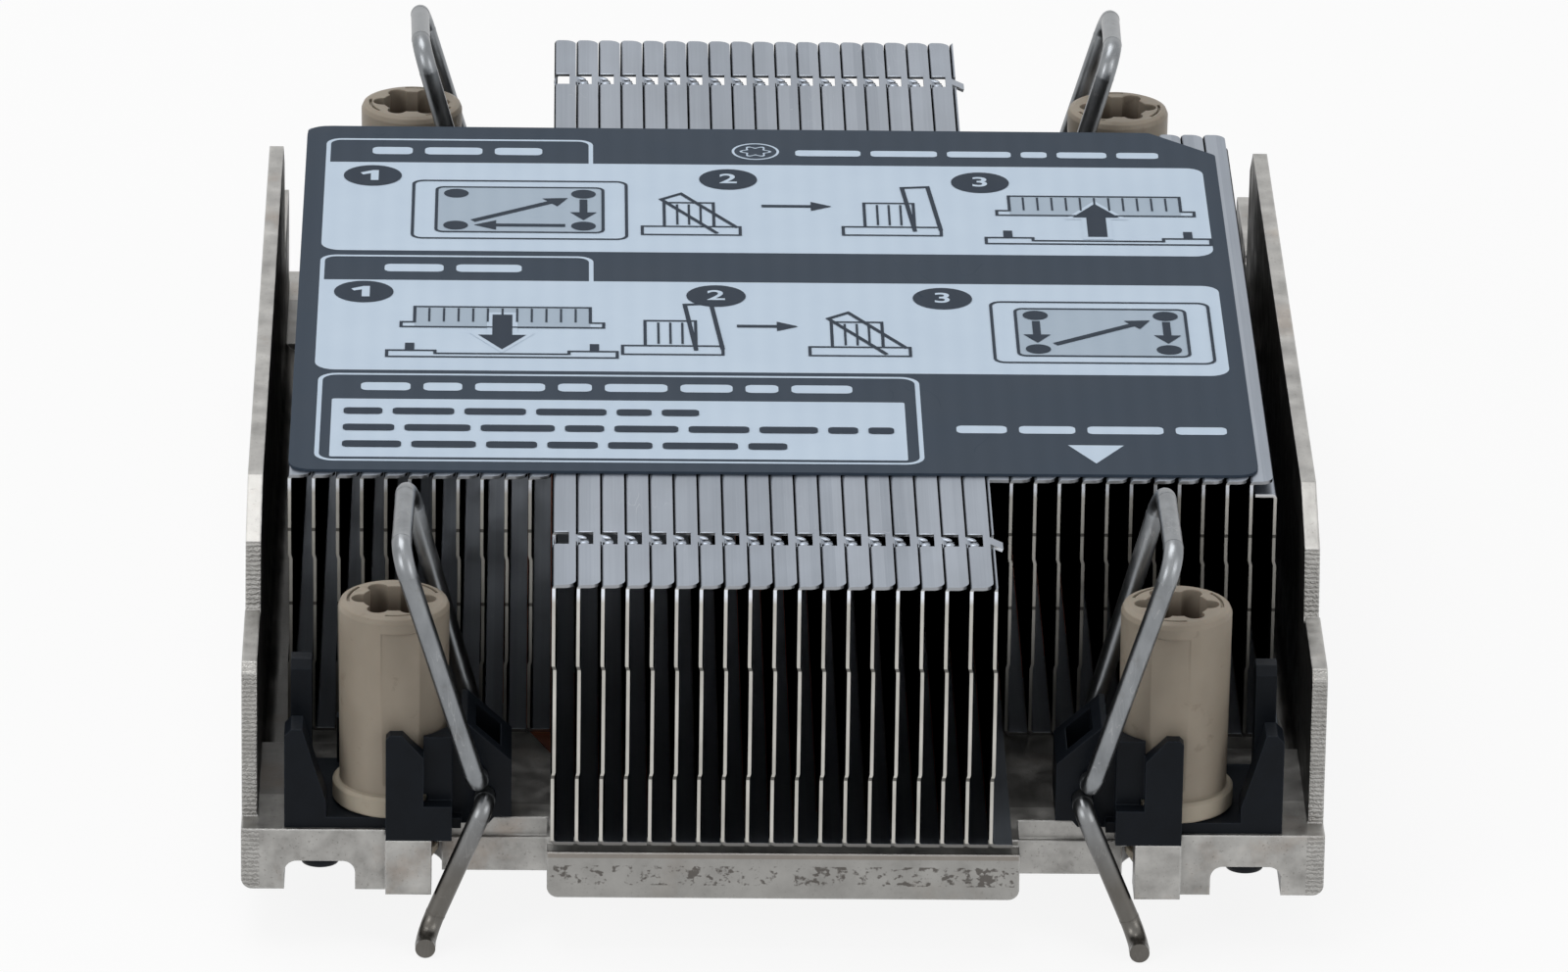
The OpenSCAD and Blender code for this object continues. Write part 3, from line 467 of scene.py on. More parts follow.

# %% [markdown]
# ## Base plate: milled and plated aluminium
#
# The base plate is one machined piece with satin faces, fine cutter lines and cloudy oxide. Flux
# from soldering leaves brown stains near the bars, and the front bar carries a band of dark,
# ragged etching across its face. The ends of the side walls were sawn, which leaves fine level
# teeth marks that catch the light. They are too fine to model, so a wave draws them, in height and
# as painted shade in its troughs, and the ends are painted a little lighter as a painted highlight.

# %% Base metal
def make_base_metal():
    material, tree, shader, where = new_material("base_metal", metallic=1.0)
    cutter = place(tree, grain, Vector=where, Stretch=(2200, 260, 2200), Contrast=1.3)["Value"]
    cloud = place(tree, grain, Vector=where, Stretch=(420, 420, 420), Detail=7.0, Contrast=2.2)["Value"]
    grit = place(tree, grain, Vector=where, Stretch=(5200, 5200, 5200), Detail=3.0, Contrast=2.2)["Value"]
    flux = place(tree, stains, Vector=where, Scale=150.0, Threshold=0.56, Softness=0.14)["Mask"]
    edges = place(tree, soft_edges, Radius=0.22 * MM, Strength=3.5)
    face = place(tree, facing)
    axes = add(tree, "SeparateXYZ", {0: where}).outputs
    out = calc(tree, "ABSOLUTE", axes[0])
    colour = blend(tree, cloud, srgb(118, 117, 114), srgb(178, 177, 174))
    colour = blend(tree, calc(tree, "MULTIPLY", cutter, 0.3), colour, srgb(196, 193, 190))
    colour = blend(tree, calc(tree, "MULTIPLY", flux, 0.3), colour, srgb(140, 116, 94))
    colour = blend(tree, calc(tree, "MULTIPLY", calc(tree, "GREATER_THAN", grit, 0.86), 0.35), colour,
                   srgb(84, 79, 74))
    # painted shade: the inner sides of the walls and the floor beside the fins are painted dark
    inner = calc(tree, "MULTIPLY", face["Across"], calc(tree, "LESS_THAN", out, 38.5 * MM))
    floor_top = calc(tree, "MULTIPLY", face["Up"], calc(tree, "LESS_THAN", axes[2], 5.2 * MM))
    floor_top = calc(tree, "MULTIPLY", floor_top, calc(tree, "GREATER_THAN", axes[2], 3.9 * MM))
    floor_top = calc(tree, "MULTIPLY", floor_top,
                     calc(tree, "LESS_THAN", calc(tree, "ABSOLUTE", axes[1]), 50 * MM))
    painted_shade = calc(tree, "MAXIMUM", calc(tree, "MULTIPLY", inner, 0.86), calc(tree, "MULTIPLY", floor_top, 0.4))
    colour = blend(tree, painted_shade, colour, srgb(30, 29, 28))
    # ragged etching across the front bar
    ahead_of = calc(tree, "LESS_THAN", axes[1], -57.3 * MM)
    band = calc(tree, "MULTIPLY", near_height(tree, axes[2], 1.75 * MM, 0.75 * MM), ahead_of)
    ragged = place(tree, grain, Vector=where, Stretch=(1900, 1900, 2300), Detail=5.0, Contrast=2.4)["Value"]
    crowd = place(tree, grain, Vector=where, Stretch=(170, 170, 170), Detail=2.0, Contrast=2.2)["Value"]
    ragged = calc(tree, "ADD", ragged, calc(tree, "MULTIPLY", crowd, 0.5))
    etch = calc(tree, "MULTIPLY", band, spread(tree, ragged, 0.82, 1.0))
    colour = blend(tree, calc(tree, "MULTIPLY", ahead_of, 0.6), colour, srgb(140, 139, 136))
    colour = blend(tree, calc(tree, "MULTIPLY", etch, 0.75), colour, srgb(66, 60, 56))
    rim = calc(tree, "MULTIPLY", near_height(tree, axes[2], 3.3 * MM, 0.22 * MM), ahead_of)
    colour = blend(tree, calc(tree, "MULTIPLY", rim, 0.45), colour, srgb(112, 100, 88))
    # sawn ends of the walls, painted a little lighter as a painted highlight, with painted shade in the
    # teeth's troughs
    ends = calc(tree, "MULTIPLY", face["Along"], calc(tree, "GREATER_THAN", out, 37.7 * MM))
    shake = calc(tree, "MULTIPLY", grit, 0.24 * MM)
    teeth_wave = calc(tree, "SINE", calc(tree, "MULTIPLY", calc(tree, "ADD", axes[2], shake),
                                         2 * math.pi / (0.34 * MM)))
    teeth = calc(tree, "MULTIPLY", ends, calc(tree, "ADD", calc(tree, "MULTIPLY", teeth_wave, 0.5), 0.5))
    colour = blend(tree, calc(tree, "MULTIPLY", ends, 0.3), colour, srgb(178, 177, 174))
    colour = blend(tree, calc(tree, "MULTIPLY", teeth, 0.5), colour, srgb(104, 101, 98))
    # painted highlight: sharp edges are painted nearly white
    colour = blend(tree, calc(tree, "MULTIPLY", edges["Mask"], 0.6), colour, srgb(228, 228, 226))
    rough = spread(tree, cloud, 0.2, 0.8, 0.32, 0.50)
    height = calc(tree, "ADD", calc(tree, "MULTIPLY", cutter, 0.25), calc(tree, "MULTIPLY", grit, 0.25))
    height = calc(tree, "SUBTRACT", height, calc(tree, "MULTIPLY", etch, 0.8))
    height = calc(tree, "SUBTRACT", height, calc(tree, "MULTIPLY", teeth, 2.0))
    dress(tree, shader, colour, rough, height, 0.02 * MM, edges["Normal"])
    return material


base_metal = make_base_metal()
paint(base_metal, "base_plate")
print("painted the base plate")

# %% [markdown]
# ## Heat pipes: copper
#
# The flattened pipes are bare copper that has darkened a little in the soldering oven. Only
# their tops show, deep between the fins.

# %% Copper
def make_copper():
    material, tree, shader, where = new_material("copper", metallic=1.0)
    cloud = place(tree, grain, Vector=where, Stretch=(500, 300, 500), Detail=5.0, Contrast=1.8)["Value"]
    dark = place(tree, stains, Vector=where, Scale=260.0, Threshold=0.5, Softness=0.2)["Mask"]
    edges = place(tree, soft_edges, Radius=0.2 * MM, Strength=3.0)
    colour = blend(tree, cloud, srgb(150, 80, 52), srgb(190, 112, 78))
    colour = blend(tree, calc(tree, "MULTIPLY", dark, 0.6), colour, srgb(112, 58, 40))
    dress(tree, shader, colour, spread(tree, cloud, 0.2, 0.8, 0.28, 0.42), cloud, 0.01 * MM, edges["Normal"])
    return material


copper = make_copper()
paint(copper, *[name for name in nodes if name.startswith("heat_pipe_")])
print("painted the heat pipes")

# %% [markdown]
# ## Nuts: tan high-temperature plastic
#
# The captive nuts are moulded in a tan plastic that keeps its grip when hot. It is slightly
# waxy: satin, with a little light passing through thin edges. Soft mottling and faint flow lines
# around the axis are enough.

# %% Tan plastic
NUT_AXIS = (28.1 * MM, 52 * MM)
NUT_TOP = 20.85 * MM


def make_tan_plastic():
    material, tree, shader, where = new_material(
        "tan_plastic", Subsurface_Weight=0.05, Subsurface_Scale=0.5 * MM, Specular_IOR_Level=0.2)
    flow = place(tree, grain, Vector=where, Stretch=(260, 260, 170), Detail=4.0, Contrast=1.2)["Value"]
    fine = place(tree, grain, Vector=where, Stretch=(9000, 9000, 9000), Detail=2.0)["Value"]
    dust = place(tree, stains, Vector=where, Scale=520.0, Threshold=0.6, Softness=0.08)["Mask"]
    edges = place(tree, soft_edges, Radius=0.18 * MM, Strength=3.0)
    colour = blend(tree, flow, srgb(132, 123, 110), srgb(159, 149, 135))
    colour = blend(tree, calc(tree, "MULTIPLY", dust, 0.3), colour, srgb(98, 84, 72))
    axes = add(tree, "SeparateXYZ", {0: where}).outputs
    flange = calc(tree, "LESS_THAN", axes[2], 7.1 * MM)
    colour = blend(tree, calc(tree, "MULTIPLY", flange, 0.5), colour, srgb(178, 169, 152))
    # painted shade: deep in the socket the plastic is painted darker and warmer
    from_x = calc(tree, "SUBTRACT", calc(tree, "ABSOLUTE", axes[0]), NUT_AXIS[0])
    from_y = calc(tree, "SUBTRACT", calc(tree, "ABSOLUTE", axes[1]), NUT_AXIS[1])
    from_axis = calc(tree, "SQRT", calc(tree, "ADD", calc(tree, "MULTIPLY", from_x, from_x),
                                        calc(tree, "MULTIPLY", from_y, from_y)))
    socket = calc(tree, "MULTIPLY", calc(tree, "LESS_THAN", from_axis, 3.1 * MM),
                  spread(tree, axes[2], NUT_TOP - 0.05 * MM, NUT_TOP - 2.5 * MM))
    colour = blend(tree, calc(tree, "MULTIPLY", socket, 0.85), colour, srgb(72, 56, 46))
    # painted highlight: the sharp edges are painted lighter
    colour = blend(tree, calc(tree, "MULTIPLY", edges["Mask"], 0.35), colour, srgb(178, 168, 151))
    dress(tree, shader, colour, spread(tree, flow, 0.2, 0.8, 0.40, 0.52), fine, 0.006 * MM, edges["Normal"])
    return material


tan_plastic = make_tan_plastic()
paint(tan_plastic, *[name for name in nodes if name.startswith("nut_")])
print("painted the nuts")

# %% [markdown]
# ## Clips: black moulded nylon
#
# The clips are nearly black, with a cool sheen from the mould and a fine spark-eroded texture.
# Their edges catch a thin line of light.

# %% Black plastic
def make_black_plastic():
    material, tree, shader, where = new_material("black_plastic", Specular_IOR_Level=0.1)
    fine = place(tree, grain, Vector=where, Stretch=(6000, 6000, 6000), Detail=3.0, Contrast=1.5)["Value"]
    cloud = place(tree, grain, Vector=where, Stretch=(500, 500, 500), Detail=3.0)["Value"]
    edges = place(tree, soft_edges, Radius=0.15 * MM, Strength=3.0)
    colour = blend(tree, cloud, srgb(12, 15, 19), srgb(21, 25, 31))
    # painted highlight: the edges are painted a lighter, cooler grey
    colour = blend(tree, calc(tree, "MULTIPLY", edges["Mask"], 0.45), colour, srgb(62, 70, 80))
    dress(tree, shader, colour, spread(tree, cloud, 0.2, 0.8, 0.34, 0.46), fine, 0.008 * MM, edges["Normal"])
    return material


black_plastic = make_black_plastic()
paint(black_plastic, *[name for name in nodes if name.startswith("clip_")])
print("painted the clips")

# %% [markdown]
# ## Wires: drawn spring steel
#
# Each wire was pulled through a die, so its lines run along it, and then bent, which leaves
# scuffs at the bends and hooks. The lines along a bent wire can't follow one direction of the
# coordinates, so the grain is kept even, and scuffs give the surface its life.

# %% Wire steel
def make_wire_steel():
    material, tree, shader, where = new_material("wire_steel", metallic=1.0)
    cloud = place(tree, grain, Vector=where, Stretch=(700, 700, 350), Detail=5.0, Contrast=1.6)["Value"]
    fine = place(tree, grain, Vector=where, Stretch=(6000, 6000, 2500), Detail=3.0)["Value"]
    scuffs = place(tree, stains, Vector=where, Scale=700.0, Threshold=0.6, Softness=0.1)["Mask"]
    marks = place(tree, scratches, Vector=where, Stretch=(1800, 1800, 400), Width=0.008, Share=0.5)["Mask"]
    colour = blend(tree, cloud, srgb(112, 115, 118), srgb(148, 151, 154))
    colour = blend(tree, calc(tree, "MULTIPLY", scuffs, 0.2), colour, srgb(100, 95, 88))
    colour = blend(tree, calc(tree, "MULTIPLY", marks, 0.2), colour, srgb(200, 200, 200))
    # the wires are painted darker and browner towards the bottom, below 9 mm
    low = spread(tree, add(tree, "SeparateXYZ", {0: where}).outputs[2], 9 * MM, 1 * MM)
    colour = blend(tree, calc(tree, "MULTIPLY", low, 0.7), colour, srgb(84, 77, 66))
    rough = calc(tree, "ADD", spread(tree, cloud, 0.2, 0.8, 0.28, 0.38), calc(tree, "MULTIPLY", scuffs, 0.1))
    dress(tree, shader, colour, rough, fine, 0.004 * MM)
    return material


wire_steel = make_wire_steel()
paint(wire_steel, *[name for name in nodes if name.startswith("wire_")])
print("painted the wires")

# %% [markdown]
# ## The label: film and inks
#
# The label is a plastic film, glued over the fins' flanges. The flanges print through it as very
# shallow ridges with the fins' own spacing. The inks lie on the film and share those ridges, so
# one function makes all of them and only the colours change.

# %% Label inks
def make_ink(name, dark, light, rough=0.5):
    material, tree, shader, where = new_material(name, Specular_IOR_Level=0.04)
    across = add(tree, "SeparateXYZ", {0: where}).outputs[0]
    ridges = calc(tree, "SINE", calc(tree, "MULTIPLY", across, 2 * math.pi / FIN_PITCH))
    ridges = calc(tree, "ADD", calc(tree, "MULTIPLY", ridges, 0.5), 0.5)
    cloud = place(tree, grain, Vector=where, Stretch=(160, 160, 160), Detail=5.0, Contrast=1.2)["Value"]
    fine = place(tree, grain, Vector=where, Stretch=(5000, 5000, 5000), Detail=2.0)["Value"]
    marks = place(tree, scratches, Vector=where, Stretch=(260, 90, 260), Width=0.002, Share=0.4)["Mask"]
    level = calc(tree, "ADD", calc(tree, "MULTIPLY", cloud, 0.8), calc(tree, "MULTIPLY", ridges, 0.2))
    colour = blend(tree, level, dark, light)
    rough = spread(tree, cloud, 0.2, 0.8, rough - 0.05, rough + 0.07)
    rough = calc(tree, "ADD", rough, calc(tree, "MULTIPLY", marks, 0.12))
    height = calc(tree, "ADD", calc(tree, "MULTIPLY", ridges, 1.0), calc(tree, "MULTIPLY", fine, 0.06))
    dress(tree, shader, colour, rough, height, 0.015 * MM)
    return material


slate_film = make_ink("slate_film", srgb(52, 62, 74), srgb(62, 72, 84))
pale_ink = make_ink("pale_ink", srgb(186, 202, 219), srgb(198, 213, 228))
dark_ink = make_ink("dark_ink", srgb(44, 53, 64), srgb(54, 63, 75))
grey_ink = make_ink("grey_ink", srgb(160, 175, 190), srgb(172, 186, 200))
paint(slate_film, "label")
print("label film and three inks")

# %% [markdown]
# ## The film as it was laid down
#
# A label is never laid quite square. This one stops a little short of the short fins' front ends,
# so their bright flanges show, and its back edge runs at a slight slant. The frame's label is
# exactly square and lies about a millimetre too far forward. So a film with an outline closer to
# the real one stands for it: drawn from listed corners, and given the label's own thickness.

# %% Label film
def make_film():
    """The label's film: an outline with rounded corners, and one corner cut."""
    low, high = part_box("label")
    mesh = bmesh.new()
    left, right = low.x / MM, high.x / MM
    corners = [(left, -36.0, 1.9), (right, -35.9, 1.9), (right, 31.5, 0.3), (right - 5.0, 36.4, 0.3),
               (left, 36.6, 1.9)]
    points = []
    for i, (x, y, radius) in enumerate(corners):
        here = Vector((x, y))
        back = (Vector(corners[i - 1][:2]) - here).normalized()
        on = (Vector(corners[(i + 1) % 5][:2]) - here).normalized()
        for step in range(7):
            t = step / 6
            start, end = here + back * radius, here + on * radius
            points.append(start * (1 - t) ** 2 + here * (2 * t * (1 - t)) + end * t ** 2)
    rings = [[mesh.verts.new((q.x * MM, q.y * MM, z)) for q in points] for z in (low.z, high.z)]
    mesh.faces.new(rings[0][::-1])
    mesh.faces.new(rings[1])
    for i in range(len(points)):
        j = (i + 1) % len(points)
        mesh.faces.new([rings[0][i], rings[0][j], rings[1][j], rings[1][i]])
    film = new_piece("label_film", mesh, slate_film)
    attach(film, "heatsink")
    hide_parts("label")
    return film


film = make_film()
print("film", [round(v / MM, 1) for v in film.dimensions])

# %% [markdown]
# ## Drawing on the label
#
# The print is flat artwork: panels, frames, discs, arrows and thin lines. It could be an image,
# but drawn shapes stay sharp at any distance. Each ink collects its faces in one mesh that
# floats a hundredth of a millimetre above the layer under it, and each face a hair above the last
# one, so that no two faces share a plane. All sizes here are millimetres on the label, with X to
# the right and Y to the back.

# %% Drawing kit
label_low, label_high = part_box("label")
INK_STEP, FACE_STEP = 0.015, 0.00004
ink_layers = {"pale": 1, "grey": 2, "halo": 3, "dark": 4, "white": 5}
ink_meshes = {name: bmesh.new() for name in ink_layers}


def fill(ink, points):
    """A filled outline in one ink."""
    mesh = ink_meshes[ink]
    z = label_high.z / MM + ink_layers[ink] * INK_STEP + len(mesh.faces) * FACE_STEP
    return mesh.faces.new([mesh.verts.new((x * MM, y * MM, z * MM)) for x, y in points])


def arc(x, y, radius, start, end, steps=8):
    """Points on a circle from one angle to another, in degrees."""
    angles = [math.radians(start + (end - start) * i / steps) for i in range(steps + 1)]
    return [(x + radius * math.cos(a), y + radius * math.sin(a)) for a in angles]


def disc(ink, x, y, radius):
    fill(ink, arc(x, y, radius, 0, 348.75, 31))


def round_box(x0, y0, x1, y1, radii):
    """A box outline with its own radius at each corner: front left, front right, back right, back left."""
    corners = [(x0, y0, 1, 1, 180), (x1, y0, -1, 1, 270), (x1, y1, -1, -1, 0), (x0, y1, 1, -1, 90)]
    points = []
    for (x, y, to_x, to_y, start), r in zip(corners, radii):
        points += arc(x + to_x * r, y + to_y * r, r, start, start + 90, 6) if r else [(x, y)]
    return points


def ring(ink, outer, inner):
    """The band between two outlines with as many points."""
    count = len(outer)
    for i in range(count):
        j = (i + 1) % count
        fill(ink, [outer[i], outer[j], inner[j], inner[i]])


def line(ink, points, width=0.24, closed=False):
    """A thin line through points, with mitred corners."""
    count = len(points)
    sides = []
    for i, (x, y) in enumerate(points):
        parts = []
        if i or closed:
            parts.append((points[i - 1], (x, y)))
        if i < count - 1 or closed:
            parts.append(((x, y), points[(i + 1) % count]))
        across = Vector((0, 0))
        for (ax, ay), (bx, by) in parts:
            across += Vector((ay - by, bx - ax)).normalized() / len(parts)
        reach = across * (width / 2 / across.length_squared)
        sides.append(((x + reach.x, y + reach.y), (x - reach.x, y - reach.y)))
    for i in range(count if closed else count - 1):
        (a, b), (c, d) = sides[i], sides[(i + 1) % count]
        fill(ink, [a, b, d, c])


def arrow(ink, ax, ay, bx, by, width=0.9, head=2.2):
    """A filled arrow from one point to another."""
    length = math.hypot(bx - ax, by - ay)
    ux, uy = (bx - ax) / length, (by - ay) / length
    shape = [(0, width / 2), (0, -width / 2), (length - head, -width / 2), (length - head, -head * 0.6),
             (length, 0), (length - head, head * 0.6), (length - head, width / 2)]
    fill(ink, [(ax + ux * s - uy * t, ay + uy * s + ux * t) for s, t in shape])


print("label lies from", [round(v / MM, 1) for v in label_low],
      "to", [round(v / MM, 1) for v in label_high])

# %% [markdown]
# ### Panels and frames
#
# Two wide pale panels hold the pictures, and each has a small outlined tab at its upper left.
# Below them an outlined box holds a pale field, and a white triangle at the right points to the
# front end of the heatsink.

# %% Panels
LEFT, RIGHT = -34.5, 33.6
UPPER, LOWER = (9.1, 28.45), (-16.0, 2.8)
RIM = 0.34


def panel(y0, y1):
    """A pale panel with its outlined tab above."""
    fill("pale", round_box(LEFT, y0, RIGHT, y1, (1.5, 1.5, 1.3, 0)))
    tab_right, tab_top = -13.75, y1 + 5.3
    outer = round_box(LEFT, y1, tab_right, tab_top, (0, 0, 1.2, 1.2))
    inner = round_box(LEFT + RIM, y1, tab_right - RIM, tab_top - RIM, (0, 0, 0.9, 0.9))
    for i in range(1, len(outer) - 1):
        fill("pale", [outer[i], outer[i + 1], inner[i + 1], inner[i]])
    fill("pale", [outer[-1], outer[0], inner[0], inner[-1]])


panel(*UPPER)
panel(*LOWER)
ring("pale", round_box(-34.2, -34.3, 10.4, -16.7, (1.4,) * 4),
     round_box(-34.2 + RIM, -34.3 + RIM, 10.4 - RIM, -16.7 - RIM, (1.1,) * 4))
fill("pale", round_box(-33.1, -33.5, 9.2, -21.9, (0.2,) * 4))
fill("pale", [(21.0, -30.2), (22.95, -33.8), (25.1, -30.2)])
print("two panels, a box and a triangle")

# %% [markdown]
# ### Pictures and steps
#
# Each panel shows three steps, which count up from the left. The numbers are plain numerals in
# dark discs. The pictures are simple line drawings: a plate seen from above with an order of
# corners, a round nut with its loop, and a finned block above its base with an arrow.

# %% Numerals
def numeral(text, x, y, height):
    """A plain numeral, centred on a point, as a flat mesh in the white ink."""
    curve = bpy.data.curves.new("numeral", "FONT")
    curve.body, curve.size = text, height * 1.38 * MM
    curve.align_x, curve.align_y = "CENTER", "CENTER"
    curve.offset = 0.045 * MM
    carrier = bpy.data.objects.new("numeral", curve)
    stage.objects.link(carrier)
    flat = bpy.data.meshes.new_from_object(carrier.evaluated_get(bpy.context.evaluated_depsgraph_get()))
    flat.transform(Matrix.Translation((x * MM, y * MM, label_high.z + ink_layers["white"] * INK_STEP * MM)))
    ink_meshes["white"].from_mesh(flat)
    bpy.data.objects.remove(carrier)
    bpy.data.meshes.remove(flat)


def step_mark(number, x, y):
    """A dark disc with its number. A one is drawn from listed points, because the font's is only a bar."""
    disc("dark", x, y, 2.25)
    if number == 1:
        shape = [(-0.95, 0.55), (0.0, 1.1), (0.45, 1.1), (0.45, -1.1), (-0.15, -1.1), (-0.15, 0.4),
                 (-0.75, 0.1)]
        fill("white", [(x + dx, y + dy) for dx, dy in shape])
    else:
        numeral(str(number), x, y, 2.1)


for number, upper_place, lower_place in (
        (1, (-30.8, 25.4), (-31.1, 0.2)), (2, (-3.3, 25.1), (-4.5, -0.2)), (3, (16.2, 24.8), (12.6, -0.4))):
    step_mark(number, *upper_place)
    step_mark(number, *lower_place)
print("six step marks")

# %% Pictures
def plate_picture(x, y, first):
    """A plate from above on its frame, with four corner nuts and the order in which they turn."""
    line("dark", round_box(x - 8.2, y - 6.3, x + 8.2, y + 6.3, (0.8,) * 4), closed=True)
    fill("grey", round_box(x - 6.4, y - 4.9, x + 6.4, y + 4.9, (0.6,) * 4))
    line("dark", round_box(x - 6.4, y - 4.9, x + 6.4, y + 4.9, (0.6,) * 4), closed=True)
    corners = [(x - 4.9, y - 3.5), (x + 4.9, y + 3.5), (x + 4.9, y - 3.5), (x - 4.9, y + 3.5)]
    for cx, cy in corners:
        disc("dark", cx, cy, 0.95)
    arrow("dark", x - 3.6, y - 2.5, x + 3.7, y + 2.6, 0.6, 1.7)
    arrow("dark", x + 4.9, y + 2.3, x + 4.9, y - 2.2, 0.6, 1.7)
    if first:
        arrow("dark", x + 3.5, y - 3.4, x - 3.5, y - 3.4, 0.6, 1.7)
    else:
        arrow("dark", x - 4.9, y + 2.3, x - 4.9, y - 2.2, 0.6, 1.7)


def nut_picture(x, y, lean):
    """A nut from the side with its wire loop, leaning in or out."""
    line("dark", [(x - 1.9, y - 3.6), (x - 1.9, y + 1.6), (x + 1.9, y + 1.6), (x + 1.9, y - 3.6)])
    line("dark", [(x - 3.6, y - 3.6), (x + 3.9, y - 3.6), (x + 3.9, y - 5.4), (x - 3.6, y - 5.4)],
         closed=True)
    for k in (-1, 0, 1):
        line("dark", [(x + k * 0.9, y - 3.2), (x + k * 0.9, y + 1.2)], 0.18)
    foot = (x + 2.9, y - 4.4)
    tip = (foot[0] - 6.6 * math.sin(lean), foot[1] + 9.6 * math.cos(lean))
    side = (1.0 * math.cos(lean), 1.0 * math.sin(lean))
    line("dark", [(foot[0] - side[0], foot[1] - side[1]), (tip[0] - side[0], tip[1] - side[1]),
                  (tip[0] + side[0], tip[1] + side[1]), (foot[0] + side[0], foot[1] + side[1])], 0.34)


def block_picture(x, y, lift):
    """A finned block from the front above its socket frame, with an arrow up or down."""
    fill("grey", [(x - 6.6, y), (x + 6.6, y), (x + 6.6, y + 4.2), (x - 6.6, y + 4.2)])
    line("dark", [(x - 7.6, y), (x + 7.6, y), (x + 7.6, y + 1.0), (x + 6.6, y + 1.0), (x + 6.6, y + 4.2),
                  (x - 6.6, y + 4.2), (x - 6.6, y + 1.0), (x - 7.6, y + 1.0)], closed=True)
    for k in range(1, 12):
        line("dark", [(x - 6.6 + 1.1 * k, y + 1.1), (x - 6.6 + 1.1 * k, y + 3.9)], 0.16)
    line("dark", [(x - 8.6, y - 6.2), (x + 8.6, y - 6.2), (x + 8.6, y - 4.9), (x + 5.0, y - 4.9),
                  (x + 5.0, y - 5.5), (x - 5.0, y - 5.5), (x - 5.0, y - 4.9), (x - 8.6, y - 4.9)],
         closed=True)
    for k in (-1, 1):
        line("dark", [(x + k * 6.9, y - 4.9), (x + k * 6.9, y - 3.4)], 0.7)
    ends = (y - 4.6, y + 2.6) if lift else (y + 2.6, y - 4.6)
    arrow("halo", x, ends[0] - (0.5 if lift else -0.5), x, ends[1] + (0.7 if lift else -0.7), 2.3, 4.1)
    arrow("dark", x, ends[0], x, ends[1], 1.5, 3.0)


upper_middle, lower_middle = sum(UPPER) / 2 - 0.9, sum(LOWER) / 2 - 0.9
plate_picture(-19.4, upper_middle + 0.2, True)
nut_picture(-6.4, upper_middle + 0.4, 0.7)
arrow("dark", -0.8, upper_middle + 1.4, 4.6, upper_middle + 1.4, 0.5, 1.6)
nut_picture(9.0, upper_middle + 0.6, 0.12)
block_picture(24.9, upper_middle - 0.2, True)
block_picture(-20.6, lower_middle + 0.4, False)
nut_picture(-8.0, lower_middle + 0.4, 0.12)
arrow("dark", -3.0, lower_middle + 1.0, 1.6, lower_middle + 1.0, 0.5, 1.6)
nut_picture(6.0, lower_middle + 0.4, 0.7)
plate_picture(24.4, lower_middle + 0.2, False)
print("eight pictures")

# %% [markdown]
# ### Lines in place of words
#
# Rows of short bars take the place of wording. Their lengths come from a seeded random source,
# so the label is the same each time.

# %% Bars
def bar_row(ink, x0, x1, y, height, seed):
    """A row of short round-ended bars from x0 to x1."""
    lengths = random.Random(seed)
    gap = height * 0.6
    bars = []
    while sum(bars) + gap * len(bars) < x1 - x0:
        bars.append(lengths.uniform(1.6, 5.0) * height / 1.1)
    share = (x1 - x0 - gap * (len(bars) - 1)) / sum(bars)
    x = x0
    for length in bars:
        fill(ink, round_box(x, y - height / 2, x + length * share, y + height / 2, (height * 0.3,) * 4))
        x += length * share + gap


bar_row("pale", -30.9, -17.7, UPPER[1] + 2.6, 1.6, 3)
bar_row("pale", -29.6, -19.2, LOWER[1] + 2.6, 1.6, 5)
bar_row("pale", -31.0, 5.4, -19.35, 1.6, 7)
bar_row("pale", 12.9, 32.8, -27.2, 1.5, 11)
for row, (x1, seed) in enumerate(((-6.0, 13), (8.3, 17), (0.4, 19))):
    bar_row("dark", -32.2, x1, -24.4 - 3.3 * row, 1.25, seed)
print("seven rows of bars")

# %% Driver mark
def lobe_outline(x, y, radius, depth, steps=48):
    """A six-lobe star, as the driver's end has."""
    points = []
    for i in range(steps):
        a = 2 * math.pi * i / steps
        r = radius - depth * (0.5 - 0.5 * math.cos(6 * a))
        points.append((x + r * math.cos(a), y + r * math.sin(a)))
    return points


mark_x, mark_y = -1.1, 31.45
ring("pale", arc(mark_x, mark_y, 1.85, 0, 352.5, 47), arc(mark_x, mark_y, 1.65, 0, 352.5, 47))
ring("pale", lobe_outline(mark_x, mark_y, 1.25, 0.42), lobe_outline(mark_x, mark_y, 1.05, 0.40))
bar_row("pale", 2.0, 30.3, mark_y - 0.3, 1.3, 23)
print("driver mark")

# %% Print the inks
ink_materials = {"pale": pale_ink, "grey": grey_ink, "halo": pale_ink, "dark": dark_ink, "white": pale_ink}
for name, mesh in ink_meshes.items():
    mesh.normal_update()
    for face in mesh.faces:
        if face.normal.z < 0:
            face.normal_flip()
    piece = new_piece("print_" + name, mesh, ink_materials[name])
    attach(piece, "heatsink")
    print(piece.name, len(piece.data.polygons), "faces")

# %% [markdown]
# ## Floor, light and background
#
# The heatsink stands on its four hooks on a pale floor. Bare metal shows what is around it, so
# the surroundings matter as much as the lamps: the floor and the background are white also for
# reflected rays, and broad soft lamps above give the flanges and wires their gradients.

# %% Floor
def seen_rays(tree):
    """1 for the rays that should see white: from the camera, and reflected or passed on."""
    path = add(tree, "LightPath").outputs
    seen = calc(tree, "MAXIMUM", path["Is Camera Ray"], path["Is Glossy Ray"])
    return calc(tree, "MAXIMUM", seen, path["Is Transmission Ray"])


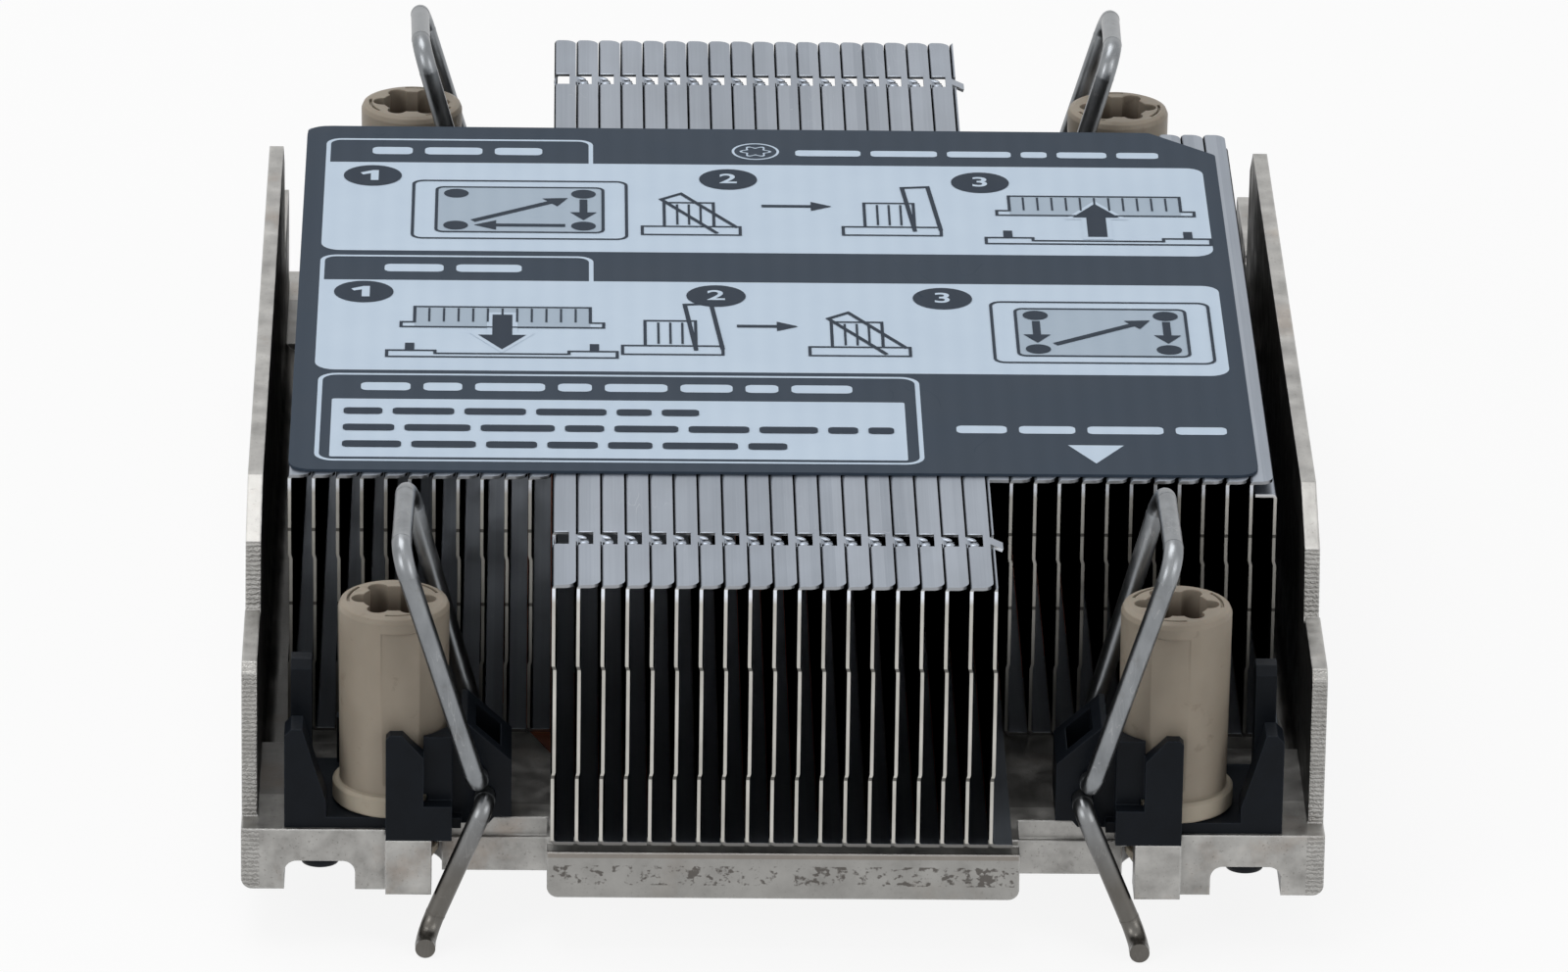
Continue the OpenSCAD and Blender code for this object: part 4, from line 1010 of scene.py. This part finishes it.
def make_floor_paint():
    """White paper that keeps part of the object's shadow."""
    material = bpy.data.materials.new("floor_paper")
    material.use_nodes = True
    tree = material.node_tree
    tree.nodes.clear()
    paper = add(tree, "BsdfDiffuse", {0: (0.82, 0.82, 0.82, 1)})
    glow = add(tree, "Emission", {"Color": (1, 1, 1, 1), "Strength": 1.0})
    share = calc(tree, "MULTIPLY", seen_rays(tree), 0.88)
    mix = add(tree, "MixShader", {0: share, 1: paper.outputs[0], 2: glow.outputs[0]})
    add(tree, "OutputMaterial", {0: mix.outputs[0]})
    return material


half = 1.6
floor_mesh = bpy.data.meshes.new("floor")
floor_mesh.from_pydata(
    [(x, y, cad_low.z - 0.01 * MM) for x, y in ((-half, -half), (half, -half), (half, half), (-half, half))],
    [], [(0, 1, 2, 3)])
floor_mesh.materials.append(make_floor_paint())
floor = bpy.data.objects.new("floor", floor_mesh)
stage.objects.link(floor)
print("floor at", round(floor_mesh.vertices[0].co.z / MM, 2), "mm")

# %% World
world = bpy.data.worlds.new("studio")
bpy.context.scene.world = world
world.use_nodes = True
tree = world.node_tree
tree.nodes.clear()
strength = spread(tree, seen_rays(tree), 0, 1, 0.42, 1.0)
light = add(tree, "Background", {"Color": (1, 1, 1, 1), "Strength": strength})
add(tree, "OutputWorld", {0: light.outputs[0]})
bpy.context.scene.view_settings.view_transform = "Standard"
print("white studio")

# %% Lamps
centre = (cad_low + cad_high) / 2


def softbox(name, place, size, power):
    """A square lamp that looks at the heatsink."""
    data = bpy.data.lights.new(name, "AREA")
    data.shape, data.size, data.energy = "SQUARE", size, power
    lamp = bpy.data.objects.new(name, data)
    lamp.location = centre + Vector(place)
    lamp.rotation_mode = "QUATERNION"
    lamp.rotation_quaternion = (centre - lamp.location).to_track_quat("-Z", "Y")
    stage.objects.link(lamp)
    print(name, power, "W")


softbox("overhead", (-0.15, 0.1, 0.7), 0.5, 2.4)
softbox("front_left", (-0.6, -0.6, 0.35), 0.4, 1.6)
softbox("front_right", (0.6, -0.5, 0.3), 0.4, 1.0)
